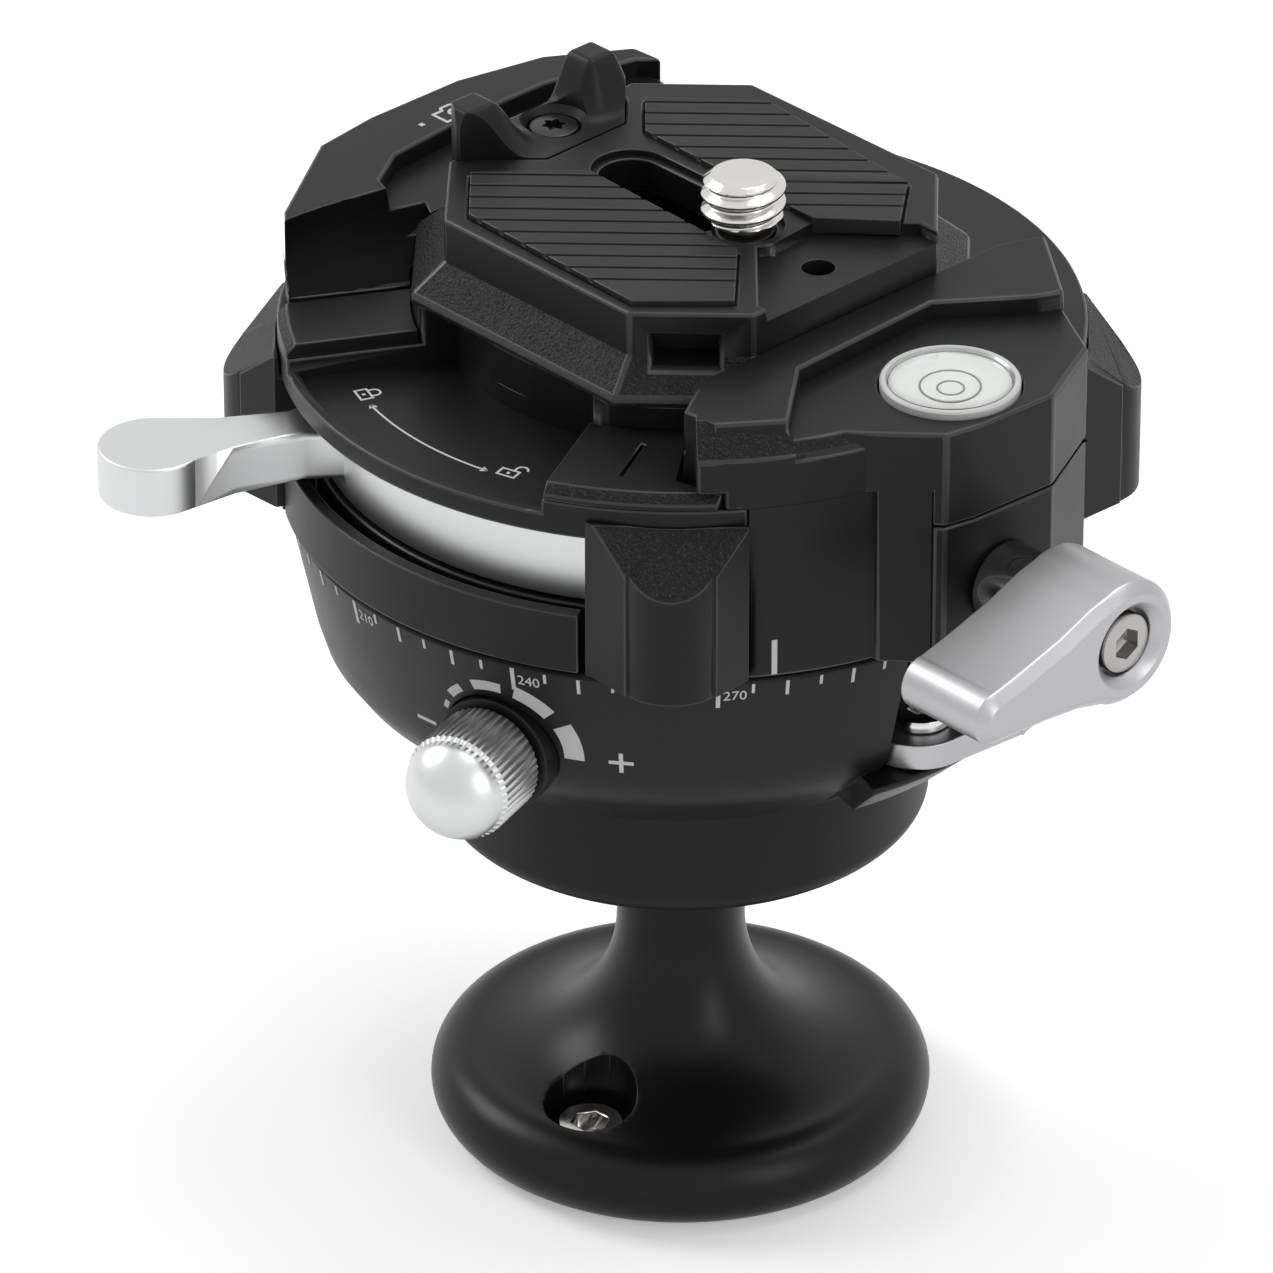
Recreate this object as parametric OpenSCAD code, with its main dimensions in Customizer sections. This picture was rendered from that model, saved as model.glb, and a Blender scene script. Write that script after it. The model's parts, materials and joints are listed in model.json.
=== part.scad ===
// Inverted ball head with a panning quick-release clamp.
// Origin at the centre of the foot's underside, +Z up, +X towards the fixed jaw.

/* [Foot and neck] */
// Widest diameter of the flared foot
foot_d = 38.8; // [37:0.2:41]
// Radius of the foot's rounded rim
rim_r = 3.2; // [2.8:0.1:3.6]
// Diameter of the neck
neck_d = 9.9; // [9:0.1:10.4]
// Height of the foot and neck
neck_h = 24; // [22:0.2:26]
// Bore of the tripod thread in the underside
tripod_bore_d = 7.94; // [7.5:0.02:8.4]
// Depth of the tripod thread
tripod_bore_h = 8.5; // [7:0.1:9.5]
// Diameter of the anti-twist set screw
set_screw_d = 5; // [4:0.1:5.6]
// Distance of the set screw from the foot's axis
set_screw_reach = 12.6; // [12:0.1:13.2]

/* [Ball] */
// Diameter of the ball
ball_d = 28; // [27:0.1:29]
// Height of the ball's centre above the neck
ball_rise = 13.5; // [13:0.1:14]
// Wall of the liner that the ball turns in
liner_t = 0.85; // [0.7:0.05:1]
// Wall of the cup and seat ring at their thinnest
seat_t = 1.45; // [1.2:0.05:1.7]
// Diameter of the shank that joins the ball to the neck
shank_d = 6.9; // [6:0.1:7.2]

/* [Ball housing] */
// Wall of the retaining bowl
bowl_wall = 2.55; // [2.2:0.05:2.8]
// Distance of the bowl's underside below the ball's centre
bowl_drop = 9.1; // [8.8:0.1:9.4]
// Diameter of the scale ring
scale_d = 59.6; // [59:0.2:60.6]
// Height of the housing below the scale's upper edge
housing_h = 16.6; // [16.2:0.1:17]
// Height of the two control axes above the ball's centre
control_rise = 9.4; // [9:0.1:9.8]
// Diameter of the friction knob
knob_d = 8.5; // [8:0.1:9]
// Length of the friction knob's knurled barrel
knob_l = 5.4; // [4.5:0.1:6]
// Direction of the friction knob
knob_turn = -72; // [-76:1:-68]

/* [Pan body] */
// Diameter of the pan body
pan_d = 60.8; // [60.4:0.2:61.6]
// Thickness of the pan body's floor
floor_t = 4.5; // [4.2:0.1:4.8]
// Diameter of the pan spindle
spindle_d = 24; // [23:0.1:24.6]
// Reach of the four lobes from the axis
lobe_reach = 34.5; // [34:0.1:35]
// Half width of a lobe at its root
lobe_half = 6.4; // [6:0.1:6.8]

/* [Clamp] */
// Outer diameter of the silver cam ring
ring_d = 55; // [54.6:0.1:55.4]
// Height of the cam ring
ring_h = 6.6; // [6.2:0.1:7]
// Reach of the thumb lever's tip centre from the axis
thumb_reach = 41.3; // [40:0.1:43]
// Radius of the thumb lever's tip
thumb_tip_r = 4.1; // [3.6:0.1:4.4]
// Thickness of the thumb lever
thumb_t = 4; // [3.4:0.1:4.6]
// Jaw travel between locked and open
jaw_travel = 1.6; // [1.4:0.05:1.8]
// Swing of the cam ring between locked and open
ring_swing = 37; // [34:1:40]
// Thickness of the top disc
disc_t = 2.8; // [2.6:0.1:3]
// Thickness of the guide plates
guide_t = 1.2; // [1:0.1:1.4]
// Height of the jaws above the plate's underside
jaw_h = 3.2; // [3.1:0.1:3.6]
// Outer diameter of the bubble level
level_d = 10.6; // [10:0.1:11]

/* [Quick-release plate] */
// Width of the dovetail at its foot
plate_w = 38; // [37.6:0.1:38.4]
// Width of the plate's deck across the jaws
deck_w = 33; // [32.6:0.1:33.4]
// Length of the plate's deck along the dovetail
deck_l = 31.8; // [31:0.1:32.4]
// Corner cut of the deck
corner_cut = 6.5; // [6:0.1:7]
// Height of the dovetail's slanting flank
flank_h = 2.3; // [2.1:0.1:2.4]
// Thickness of the plate
plate_t = 6.6; // [6.4:0.1:7]
// Height of the rubber pads above the deck
pad_proud = 0.4; // [0.2:0.1:0.6]
// Number of grooves on each pad
pad_grooves = 10; // [8:1:12]
// Major diameter of the camera screw
camera_screw_d = 6.35; // [6:0.01:6.35]
// Height of the camera screw above the deck
camera_screw_h = 4.2; // [3.6:0.1:5]
// Travel of the camera screw along its slot
slot_travel = 12; // [9:0.1:12.2]

/* [Levers] */
// Radius of the pan lever's round end
lever_r = 4.9; // [4.6:0.1:5]
// Length of the pan lever from pivot to tail centre
lever_l = 13.2; // [12.6:0.1:13.6]
// Thickness of the pan lever
lever_t = 8.4; // [7.8:0.1:8.8]
// Diameter of the pan lever's shaft
lever_shaft_d = 4; // [3.6:0.1:4.2]
// Diameter of the ball lever's cam hub
cam_d = 8.4; // [8:0.1:8.6]
// Offset of the cam hub from its pivot
cam_throw = 0.35; // [0.3:0.01:0.38]
// Thickness of the ball lever
cam_t = 2.1; // [1.8:0.1:2.3]
// Direction in which the ball lever ends
arm_end = 62; // [50:1:64]

/* [Hidden] */
$fn = 96;

// Running clearance between turning pieces, and the gap between faces that slide
fit = 0.05;
gap = 0.1;
eps = 1;

foot_r = foot_d / 2;
neck_r = neck_d / 2;
flare_r = foot_r - rim_r - neck_r;
shank_h = 12;
set_pocket_d = set_screw_d + 2.2;
set_pocket_z = 4.2;
set_screw_turn = -77;

ball_r = ball_d / 2;
ball_z = neck_h + ball_rise;
liner_r = ball_r + fit + liner_t;
seat_r = liner_r + fit + seat_t;
liner_low = 8.9;
liner_high = 12;
lip_t = 1.9;
seat_low = bowl_drop - lip_t;
mouth_r = sqrt(pow(liner_r + fit, 2) - pow(seat_low, 2)) + 0.1;

bowl_r = seat_r + fit + bowl_wall;
bowl_z = ball_z - bowl_drop;
cup_top = ball_z + liner_r + 0.75;
roof_t = 2.2;
housing_top = cup_top + 0.2 + roof_t;
housing_z = housing_top - housing_h;
socket_top = housing_z + 3;
scale_r = scale_d / 2;
control_z = ball_z + control_rise;
lock_floor_z = housing_z + 4.6;
lock_z = lock_floor_z + 0.15 + cam_t / 2;
pivot_x = scale_r - 4;
pivot_r = 1.6;
cam_r = cam_d / 2;
pocket_r = cam_r + cam_throw + gap;
shoe_r = 2.6;
arm_in = scale_r - 1.5;
arm_out = scale_r + 1.2;

pan_r = pan_d / 2;
pan_z = housing_top + 0.3;
floor_top = pan_z + floor_t;
spindle_r = spindle_d / 2;
bush_t = 0.95;
bush_r = spindle_r + fit + bush_t;
boss_r = ring_d / 2 - 7;
ring_z = floor_top + 0.2;
ring_top = ring_z + ring_h;
disc_z = ring_top + 0.2;
disc_top = disc_z + disc_t;
seam_z = disc_top - 1.2;
boss_top = disc_z - 0.5;
spindle_top = disc_z - 3.4;
retainer_r = spindle_r + 2.2;
retainer_t = 1.4;
wall_in = ring_d / 2 + 0.4;
pan_axis_z = floor_top + 0.9;
brake_r = 2.5;
outside_r = pan_r + 6;
detent_r = 24;
detent_turn = -150;
panel_x = pan_r + 3.4;
panel_z = pan_z + 0.2;

window_from = -124;
window_to = -57;
thumb_turn = -115.5;
apron_from = -34.5;
apron_to = -9.9;
jaw_from = -41.6;
// Where its raised tier and its platform end, and how high their front slopes in
tier_to = -27.8;
platform_to = -14.5;
jaw_slope = 2.35;
platform_slope = 1.35;
wall_to = 21;

deck_floor = disc_top + 3.1;
plate_z = deck_floor + gap;
plate_top = plate_z + plate_t;
plate_x = 0.5;
plate_y = 0.5;
plate_foot_t = 0.8;
deck_z = plate_z + plate_foot_t + flank_h;
jaw_top = plate_z + jaw_h;
platform_z = jaw_top - 1.5;
level_x = pan_r - 2.4;
level_y = 0.4;
jaw_screw_x = 22.6;
jaw_screw_y = [-7, 10];
clamp_screw_reach = (retainer_r + 0.3 + boss_r) / 2;
deck_r = clamp_screw_reach + 2.7;
deck_half = 17.4;

channel_x = 16.8;
tongue_out = 26.2;
tongue_in = 13.6;
tongue_half = 6;
tongue_t = 1.3;
nose_z = plate_z + 1.65;
sweep_a = 20.6;
sweep_l = 20.6;
sector_from = -119;
sector_to = -63.4;
pin_r = 1.2;
pin_x = -22.9;
cam_rate = jaw_travel / ring_swing;
screw_x = 5.7;
thread_z = plate_top + pad_proud + gap;

pad_t = 1.3;
groove_pitch = 1.8;
ears_x = plate_x - deck_w / 2;
ears_y = 0.9;
ears_z = plate_top - 1.8;
ears_screw_x = ears_x + 1;
notch_screw_x = 13.6;
notch_screw_y = 0.9;
corner_w = sqrt(2) * (deck_w / 2 + deck_l / 2 - corner_cut) + plate_w - deck_w;
clip_z = plate_z + 2.8;

knob_base = scale_r - 0.2;
lever_back = pan_r + 8.6;

// Outer wall beside the pan lever, shared by the side panel, the fixed jaw and its apron
side_wall = [[pan_r - 0.7, -8.5], [pan_r + 2.8, -5.1], [pan_r + 3.4, -2.4], [pan_r + 3.8, 5],
    [pan_r + 0.5, 11.8]];

function at(r, a) = [r * cos(a), r * sin(a)];

// A pie slice from the axis, wide enough to cut any ring of the part
module slice(from, to, r = 70) {
    polygon(concat([[0, 0]], [for (i = [0:8]) at(r, from + (to - from) * i / 8)]));
}

// Part of a flat ring between two directions
module ring_part(inner, outer, from, to) {
    intersection() {
        difference() {
            circle(outer);
            circle(inner);
        }
        slice(from, to);
    }
}

// Turns a piece that is drawn along +Z to point outwards at a height
module outwards(turn, z) {
    translate([0, 0, z]) rotate([0, 0, turn]) rotate([0, 90, 0]) children();
}

// A hex socket cut, measured across its corners
module hex(d, h) {
    cylinder(d = d, h = h, $fn = 6);
}

module foot() color("#1b1b1d") difference() {
    rotate_extrude() {
        difference() {
            union() {
                square([foot_r - rim_r, 2 * rim_r + flare_r]);
                translate([foot_r - rim_r, rim_r]) circle(rim_r);
            }
            translate([foot_r - rim_r, 2 * rim_r + flare_r]) circle(flare_r);
        }
        square([neck_r, neck_h]);
    }
    translate([0, 0, -eps]) cylinder(d = tripod_bore_d, h = tripod_bore_h + eps);
    translate([0, 0, neck_h - shank_h - gap]) cylinder(d = shank_d + 2 * fit, h = shank_h + eps);
    translate(concat(at(set_screw_reach, set_screw_turn), -eps)) {
        cylinder(d = set_screw_d + gap, h = 20);
        translate([0, 0, set_pocket_z + eps]) cylinder(d = set_pocket_d, h = 20);
    }
}

module anti_twist_screw() color("#c9c9c4")
    translate(concat(at(set_screw_reach, set_screw_turn), 0.3)) difference() {
        cylinder(d = set_screw_d, h = set_pocket_z + 0.6);
        translate([0, 0, set_pocket_z - 1.4]) hex(set_screw_d * 0.56, 3);
    }

module ball_stem() color("#2a2a2c") {
    intersection() {
        translate([0, 0, ball_z]) sphere(ball_r);
        translate([0, 0, neck_h]) cylinder(r = ball_r + eps, h = ball_rise + ball_r + eps);
    }
    translate([0, 0, neck_h]) cylinder(r = neck_r, h = ball_rise);
    translate([0, 0, neck_h - shank_h]) cylinder(d = shank_d, h = shank_h + eps);
}

module ball_liner() color("#d8d5c8") translate([0, 0, ball_z]) difference() {
    intersection() {
        sphere(liner_r);
        translate([0, 0, -liner_low]) cylinder(r = liner_r + eps, h = liner_low + liner_high);
    }
    sphere(ball_r + fit);
    translate([0, -0.4, -liner_r - eps]) cube([liner_r + eps, 0.8, 2 * liner_r + 2 * eps]);
}

module pressure_cup() color("#b08a4a") difference() {
    translate([0, 0, ball_z + 1]) cylinder(r = seat_r, h = cup_top - ball_z - 1);
    translate([0, 0, ball_z]) sphere(liner_r + fit);
    cylinder(r = 5, h = 100);
}

module seat_ring() color("#cfccbf") difference() {
    translate([0, 0, ball_z - seat_low + gap]) cylinder(r = seat_r, h = seat_low - 0.5);
    translate([0, 0, ball_z]) sphere(liner_r + fit);
}

module retaining_bowl() color("#3a3a3d") rotate_extrude() difference() {
    union() {
        translate([0, bowl_z + lip_t]) square([bowl_r, socket_top - gap - bowl_z - lip_t]);
        translate([0, bowl_z]) square([bowl_r - lip_t, lip_t]);
        translate([bowl_r - lip_t, bowl_z + lip_t]) circle(lip_t);
    }
    translate([0, bowl_z - eps]) square([mouth_r, 40]);
    translate([0, bowl_z + lip_t]) square([seat_r + fit, 40]);
}

// Outline of the housing's outside, from its lower edge to the scale
module housing_outline() {
    polygon([[0, housing_z], [scale_r - 7.7, housing_z], [scale_r - 3.9, housing_z + 3.3],
        [scale_r - 2.5, housing_z + 5.3], [scale_r - 1.9, housing_z + 7.3],
        [scale_r, housing_top - 0.4], [scale_r - 0.4, housing_top], [0, housing_top]]);
}

// Outline of the shelf under the ball lever's cam hub
module shelf_outline() {
    polygon([[bowl_r + 2, housing_z + 1.2], [scale_r - 4, housing_z + 1.2], [scale_r - 0.9, housing_z + 4.1],
        [scale_r - 0.9, lock_floor_z], [bowl_r + 2, lock_floor_z]]);
}

module ball_housing() color("#202023") difference() {
    union() {
        rotate_extrude() housing_outline();
        intersection() {
            rotate_extrude() shelf_outline();
            translate([0, 0, housing_z]) linear_extrude(housing_h) slice(-14, 14);
        }
        translate([0, 0, housing_top - eps]) cylinder(r = spindle_r, h = spindle_top - housing_top + eps);
    }
    translate([0, 0, housing_z - eps]) cylinder(r = bowl_r + fit, h = socket_top - housing_z + eps);
    translate([0, 0, housing_z]) cylinder(r = seat_r + fit, h = cup_top + 0.2 - housing_z);
    translate([0, 0, housing_top - 0.7]) difference() {
        cylinder(r = scale_r - 4, h = 2);
        cylinder(r = scale_r - 10, h = 2);
    }
    translate([0, 0, spindle_top - 7]) cylinder(r = 2.5 + fit, h = 8);
    outwards(knob_turn, control_z) {
        cylinder(r = 2 + fit, h = scale_r);
        translate([0, 0, scale_r - 2.4]) cylinder(d = knob_d + 0.9, h = 10);
    }
    // Pocket of the ball lever's cam hub, the seat of its pivot and the bore of its shoe
    translate([pivot_x, 0, lock_floor_z]) {
        cylinder(r = pocket_r, h = 20);
        translate([0, -pocket_r, 0]) cube([10, 2 * pocket_r, 20]);
        translate([0, 0, -2]) cylinder(r = 1, h = 3);
    }
    outwards(0, lock_z) cylinder(r = shoe_r + fit, h = pivot_x);
}

module thrust_washer() color("#d5d2c6") translate([0, 0, housing_top - 0.7]) difference() {
    cylinder(r = scale_r - 4 - gap, h = 0.95);
    translate([0, 0, -eps]) cylinder(r = scale_r - 10 + gap, h = 3);
}

module pan_retainer() color("#8d8d8f") translate([0, 0, spindle_top]) difference() {
    cylinder(r = retainer_r, h = retainer_t);
    translate([0, 0, -eps]) cylinder(r = 2.5 + fit, h = 4);
}

module spindle_screw() color("#c9c9c4") translate([0, 0, spindle_top]) difference() {
    union() {
        translate([0, 0, -6.5]) cylinder(r = 2.5, h = 6.5 + retainer_t);
        translate([0, 0, retainer_t]) cylinder(r = 4.2, h = 1.7);
    }
    translate([0, 0, retainer_t + 0.3]) hex(3.4, 3);
}

module friction_bush() color("#161617") outwards(knob_turn, control_z)
    translate([0, 0, scale_r - 2.4]) difference() {
        cylinder(d = knob_d + 0.7, h = 2);
        translate([0, 0, -eps]) cylinder(r = 2 + fit, h = 4);
    }

module friction_screw() color("#c9c9c4") outwards(knob_turn, control_z)
    translate([0, 0, seat_r + 3.9]) cylinder(r = 2, h = knob_base - seat_r - 3.9 + 3);

module friction_knob() color("#cdced0") outwards(knob_turn, control_z) difference() {
    union() {
        translate([0, 0, knob_base]) linear_extrude(knob_l - 0.5) polygon([for (i = [0:95])
            at(knob_d / 2 - (i % 2) * 0.16, i * 3.75)]);
        translate([0, 0, knob_base + knob_l - 0.7]) intersection() {
            translate([0, 0, -0.4]) sphere(knob_d / 2);
            cylinder(d = knob_d - 0.5, h = knob_d);
        }
    }
    translate([0, 0, knob_base - eps]) cylinder(r = 2 + gap, h = 3 + eps + gap);
}

module friction_pad() color("#d8d5c8") outwards(knob_turn, control_z) difference() {
    translate([0, 0, seat_r - 1]) cylinder(r = 2, h = 4.6);
    rotate([0, -90, 0]) translate([0, 0, -20]) cylinder(r = seat_r + 0.4, h = 40);
}

// Outline of a lever: round end at the origin, tail along -X, drooping by drop
module lever_outline(drop, tail_r) {
    circle(lever_r);
    translate([-lever_l, -drop]) circle(tail_r);
    polygon([[0, lever_r], [-1.2, lever_r - 0.2], [-3.5, lever_r - 0.75], [-lever_l / 2, 2.9],
        [-lever_l * 0.83, tail_r - drop + 0.55], [-lever_l, tail_r - drop], [-lever_l, -tail_r - drop],
        [-lever_l * 0.62, -3.35], [-lever_l * 0.36, -3.7], [0, -lever_r]]);
}

// The same outline turned into the plane across +X, with its tail along -Y
module lever_blank(x, t, drop, tail_r) {
    translate([x, 0, 0]) rotate([90, 0, 90]) linear_extrude(t) lever_outline(drop, tail_r);
}

module lever_screw(x, z, l) color("#d4d4d0") outwards(0, z) difference() {
    union() {
        translate([0, 0, x]) cylinder(r = 2.35, h = 1.5);
        translate([0, 0, x - l]) cylinder(r = 1.4, h = l + 0.5);
    }
    translate([0, 0, x + 0.4]) hex(2.3, 3);
}

// Cam hub with a flat arm that lies along the housing
module ball_lock_lever() color("#cdced0") difference() {
    translate([0, 0, lock_z - cam_t / 2]) linear_extrude(cam_t) {
        translate([pivot_x - cam_throw, 0]) circle(cam_r);
        // The arm's root leaves the hub along its outer side
        difference() {
            union() {
                ring_part(arm_in, arm_out, 12, arm_end);
                polygon([[pivot_x, 0], [pivot_x + cam_r - cam_throw, 0], at(arm_out, 13), at(arm_in, 13),
                    [pivot_x + 1, 3.6]]);
                translate(at((arm_in + arm_out) / 2, arm_end)) circle((arm_out - arm_in) / 2);
            }
            circle(arm_in);
        }
        polygon([[pivot_x, -1], [pivot_x + cam_r - cam_throw, 0], [pivot_x + cam_r - cam_throw - 0.3, 4.2],
            [pivot_x, 3.4]]);
    }
    translate([pivot_x, 0, 0]) cylinder(r = pivot_r + fit, h = 100);
}

module ball_lock_shaft() color("#b9b9b6") translate([pivot_x, 0, lock_floor_z]) difference() {
    cylinder(r = pivot_r, h = cam_t + 0.3);
    translate([0, 0, -eps]) cylinder(r = 1 + fit, h = 5);
}

module ball_lever_screw() color("#d4d4d0") translate([pivot_x, 0, lock_floor_z + cam_t + 0.3]) difference() {
    union() {
        cylinder(r = 2.3, h = 0.9);
        translate([0, 0, -cam_t - 2.1]) cylinder(r = 1, h = cam_t + 2.2);
    }
    translate([0, 0, 0.3]) hex(1.6, 3);
}

module ball_lock_shoe() color("#b08a4a") outwards(0, lock_z) difference() {
    cylinder(r = shoe_r, h = pivot_x - cam_throw - cam_r - gap);
    rotate([0, -90, 0]) translate([0, 0, -20]) cylinder(r = seat_r + gap, h = 40);
}

// Part of the outer wall between two directions, outside an inner radius
module wall_part(inner, from, to) intersection() {
    difference() {
        polygon(concat([[inner - 6, -8.5]], side_wall, [[inner - 6, 11.8]]));
        circle(inner);
    }
    slice(from, to);
}

// One lobe: flat flanks and a round column, cut by a slanting scoop at the top
module lobe() difference() {
    translate([0, 0, pan_z + 0.3]) linear_extrude(seam_z - pan_z - 0.3) {
        difference() {
            union() {
                polygon([[wall_in, -lobe_half - 0.3], [pan_r - 0.6, -lobe_half], [lobe_reach - 1.3, -2.9],
                    [lobe_reach - 1.5, -2.5], [lobe_reach - 1.5, 2.5], [lobe_reach - 1.3, 2.9],
                    [pan_r - 0.6, lobe_half], [wall_in, lobe_half + 0.3]]);
                translate([lobe_reach - 2.7, 0]) circle(2.7);
            }
            circle(wall_in);
        }
    }
    translate([pan_r, -20, seam_z]) rotate([0, 45, 0]) translate([-10, 0, 0]) cube([30, 40, 20]);
}

module pan_body() color("#1e1e20") difference() {
    union() {
        translate([0, 0, pan_z]) cylinder(r = pan_r, h = floor_t);
        translate([0, 0, floor_top - eps]) cylinder(r = boss_r - fit, h = boss_top - floor_top + eps);
        translate([0, 0, pan_z]) linear_extrude(disc_z - pan_z) difference() {
            circle(pan_r);
            circle(wall_in);
        }
        for (turn = [45:90:315]) rotate([0, 0, turn]) lobe();
        translate([0, 0, panel_z]) linear_extrude(disc_z - gap - panel_z)
            wall_part(wall_in, apron_to, wall_to);
    }
    translate([0, 0, pan_z - eps]) cylinder(r = bush_r, h = 30);
    translate([0, 0, spindle_top - gap]) cylinder(r = retainer_r + 0.3, h = 30);
    // Upper wall outside the disc's edge, so that the lobes end in the seam
    translate([0, 0, disc_z]) cylinder(r = pan_r + fit, h = 20);
    // Window for the thumb lever, and the seat of the skirt below it
    translate([0, 0, floor_top + 0.4]) linear_extrude(disc_z)
        ring_part(wall_in - 2, outside_r, window_from, window_to);
    translate([0, 0, pan_z - eps]) linear_extrude(floor_t + 2)
        ring_part(wall_in, outside_r, window_from, window_to);
    // Seat of the fixed jaw's apron
    translate([0, 0, pan_z - eps]) linear_extrude(40) ring_part(pan_r - 1.9, outside_r, apron_from, apron_to);
    outwards(0, pan_axis_z) {
        cylinder(d = lever_shaft_d + 2 * fit, h = 60);
        cylinder(r = brake_r + fit, h = spindle_r + 3);
    }
    // Holes for the clamp screws and the detent ball
    for (turn = [45:90:315]) rotate([0, 0, turn]) translate([clamp_screw_reach, 0, boss_top - 5])
        cylinder(r = 1.5, h = 20);
    translate(concat(at(detent_r, detent_turn), floor_top - 2.8)) cylinder(r = 1.25, h = 5);
}

module pan_bush() color("#b08a4a") difference() {
    translate([0, 0, pan_z]) cylinder(r = bush_r - 0.01, h = spindle_top - gap - pan_z);
    translate([0, 0, pan_z - eps]) cylinder(r = spindle_r + fit, h = 30);
    outwards(0, pan_axis_z) cylinder(r = brake_r + fit, h = 40);
}

module window_skirt() color("#1e1e20") translate([0, 0, pan_z + fit]) {
    linear_extrude(1.2) ring_part(wall_in + fit, pan_r - 0.1, window_from + 1, window_to - 1.1);
    linear_extrude(floor_t + 0.4) ring_part(pan_r - 1.2, pan_r - 0.1, window_from + 1, window_to - 1.1);
}

module detent_ball() color("#d4d4d0") translate(concat(at(detent_r, detent_turn), floor_top - 0.4))
    sphere(1.2);

module detent_spring() color("#b9b9b6") translate(concat(at(detent_r, detent_turn), floor_top - 2.7))
    difference() {
        cylinder(r = 1.1, h = 1.3);
        translate([0, 0, -eps]) cylinder(r = 0.75, h = 4);
    }

module pan_lock_lever() color("#cdced0") difference() {
    translate([0, 0, pan_axis_z]) lever_blank(lever_back, lever_t, 1, 2.1);
    outwards(0, pan_axis_z) {
        cylinder(d = lever_shaft_d + 2 * fit, h = lever_back + lever_t - 2);
        translate([0, 0, lever_back + lever_t - 2]) cylinder(r = 2.65, h = 10);
    }
}

module pan_lock_shaft() color("#c9c9c4") outwards(0, pan_axis_z) difference() {
    union() {
        translate([0, 0, spindle_r + 2.6]) cylinder(d = lever_shaft_d,
            h = lever_back + lever_t - 2 - gap - spindle_r - 2.6);
        translate([0, 0, panel_x + 0.3]) cylinder(r = 3.2, h = lever_back - panel_x - 0.3);
    }
    translate([0, 0, lever_back - 2]) cylinder(r = 1.4 + fit, h = 20);
}

module pan_lever_screw() lever_screw(lever_back + lever_t - 2, pan_axis_z, 8);

module pan_brake_shoe() color("#b08a4a") outwards(0, pan_axis_z) difference() {
    translate([0, 0, spindle_r - 1]) cylinder(r = brake_r, h = 3.5);
    rotate([0, -90, 0]) translate([0, 0, -20]) cylinder(r = spindle_r + 0.25, h = 40);
}

// Centre line of the cam slot in the locked position: the radius grows as the ring turns
function cam_point(turn, side) = at(-pin_x + cam_rate * turn + side, 180 - turn);

module cam_slot() {
    polygon(concat([for (t = [0:ring_swing / 12:ring_swing + 0.01]) cam_point(t, pin_r + 0.08)],
        [for (t = [ring_swing:-ring_swing / 12:-0.01]) cam_point(t, -pin_r - 0.08)]));
    translate(cam_point(0, 0)) circle(pin_r + 0.08);
    translate(cam_point(ring_swing, 0)) circle(pin_r + 0.08);
}

module cam_ring() color("#cdced0") difference() {
    union() {
        translate([0, 0, ring_z]) linear_extrude(ring_h) ring_part(boss_r + fit, ring_d / 2, 100, 310);
        translate([0, 0, ring_top - 1.2 - thumb_t]) rotate([0, 0, thumb_turn]) linear_extrude(thumb_t) {
            polygon([[ring_d / 2 - 1, -3.1], [ring_d / 2 + 2.5, -2.1], [thumb_reach - 5.6, -2.3],
                [thumb_reach - 2.4, -thumb_tip_r + 0.75], [thumb_reach, 0],
                [thumb_reach - 2.4, thumb_tip_r - 0.75], [thumb_reach - 5.6, 2.3],
                [ring_d / 2 + 2.5, 2.1], [ring_d / 2 - 1, 3.1]]);
            translate([thumb_reach, 0]) circle(thumb_tip_r);
        }
    }
    translate([0, 0, ring_top - 3.4]) linear_extrude(5) cam_slot();
    translate([0, 0, ring_z - eps]) linear_extrude(eps + 0.8) ring_part(detent_r - 1.4, detent_r + 1.4,
        detent_turn - 4 - ring_swing, detent_turn + 4);
}

module clamp_disc() color("#1d1d1f") difference() {
    union() {
        translate([0, 0, disc_z]) cylinder(r = pan_r - fit, h = disc_t);
        translate([0, 0, disc_top - eps]) intersection() {
            cylinder(r = deck_r, h = deck_floor - disc_top + eps);
            translate([-channel_x, -deck_half, 0]) cube([channel_x + 17, 2 * deck_half, 20]);
        }
    }
    // Sunk sector with its raised rim
    translate([0, 0, disc_z + 1.2]) linear_extrude(10) ring_part(deck_half + 0.1, pan_r - 0.95,
        sector_from, sector_to);
    translate([0, 0, disc_z + 1.7]) linear_extrude(10)
        ring_part(pan_r - 1, outside_r, sector_from, sector_to);
    // Seat of the fixed jaw's apron
    translate([0, 0, disc_z - eps]) linear_extrude(10)
        ring_part(pan_r - 1.9, outside_r, apron_from, wall_to + 1);
    // Channel for the moving jaw's tongue, and the slot for the follower pin
    translate([-tongue_out - jaw_travel - 0.3, -tongue_half - fit, disc_top - tongue_t - gap])
        cube([tongue_out + jaw_travel + 0.6 - tongue_in, 2 * (tongue_half + fit), tongue_t + gap]);
    translate([pin_x - jaw_travel, -pin_r - gap, disc_z - eps]) cube([jaw_travel, 2 * (pin_r + gap), 4]);
    for (x = [pin_x - jaw_travel, pin_x]) translate([x, 0, disc_z - eps]) cylinder(r = pin_r + gap, h = 4);
    for (turn = [45:90:315]) rotate([0, 0, turn]) translate([clamp_screw_reach, 0, 0]) {
        translate([0, 0, disc_z - eps]) cylinder(r = 1.6, h = 10);
        translate([0, 0, deck_floor - 2.3]) cylinder(r = 2.3, h = 5);
    }
    for (y = jaw_screw_y) translate([jaw_screw_x, y, disc_z - eps]) {
        cylinder(r = 2.5, h = eps + 1.5);
        cylinder(r = 1.6, h = 10);
    }
}

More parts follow.
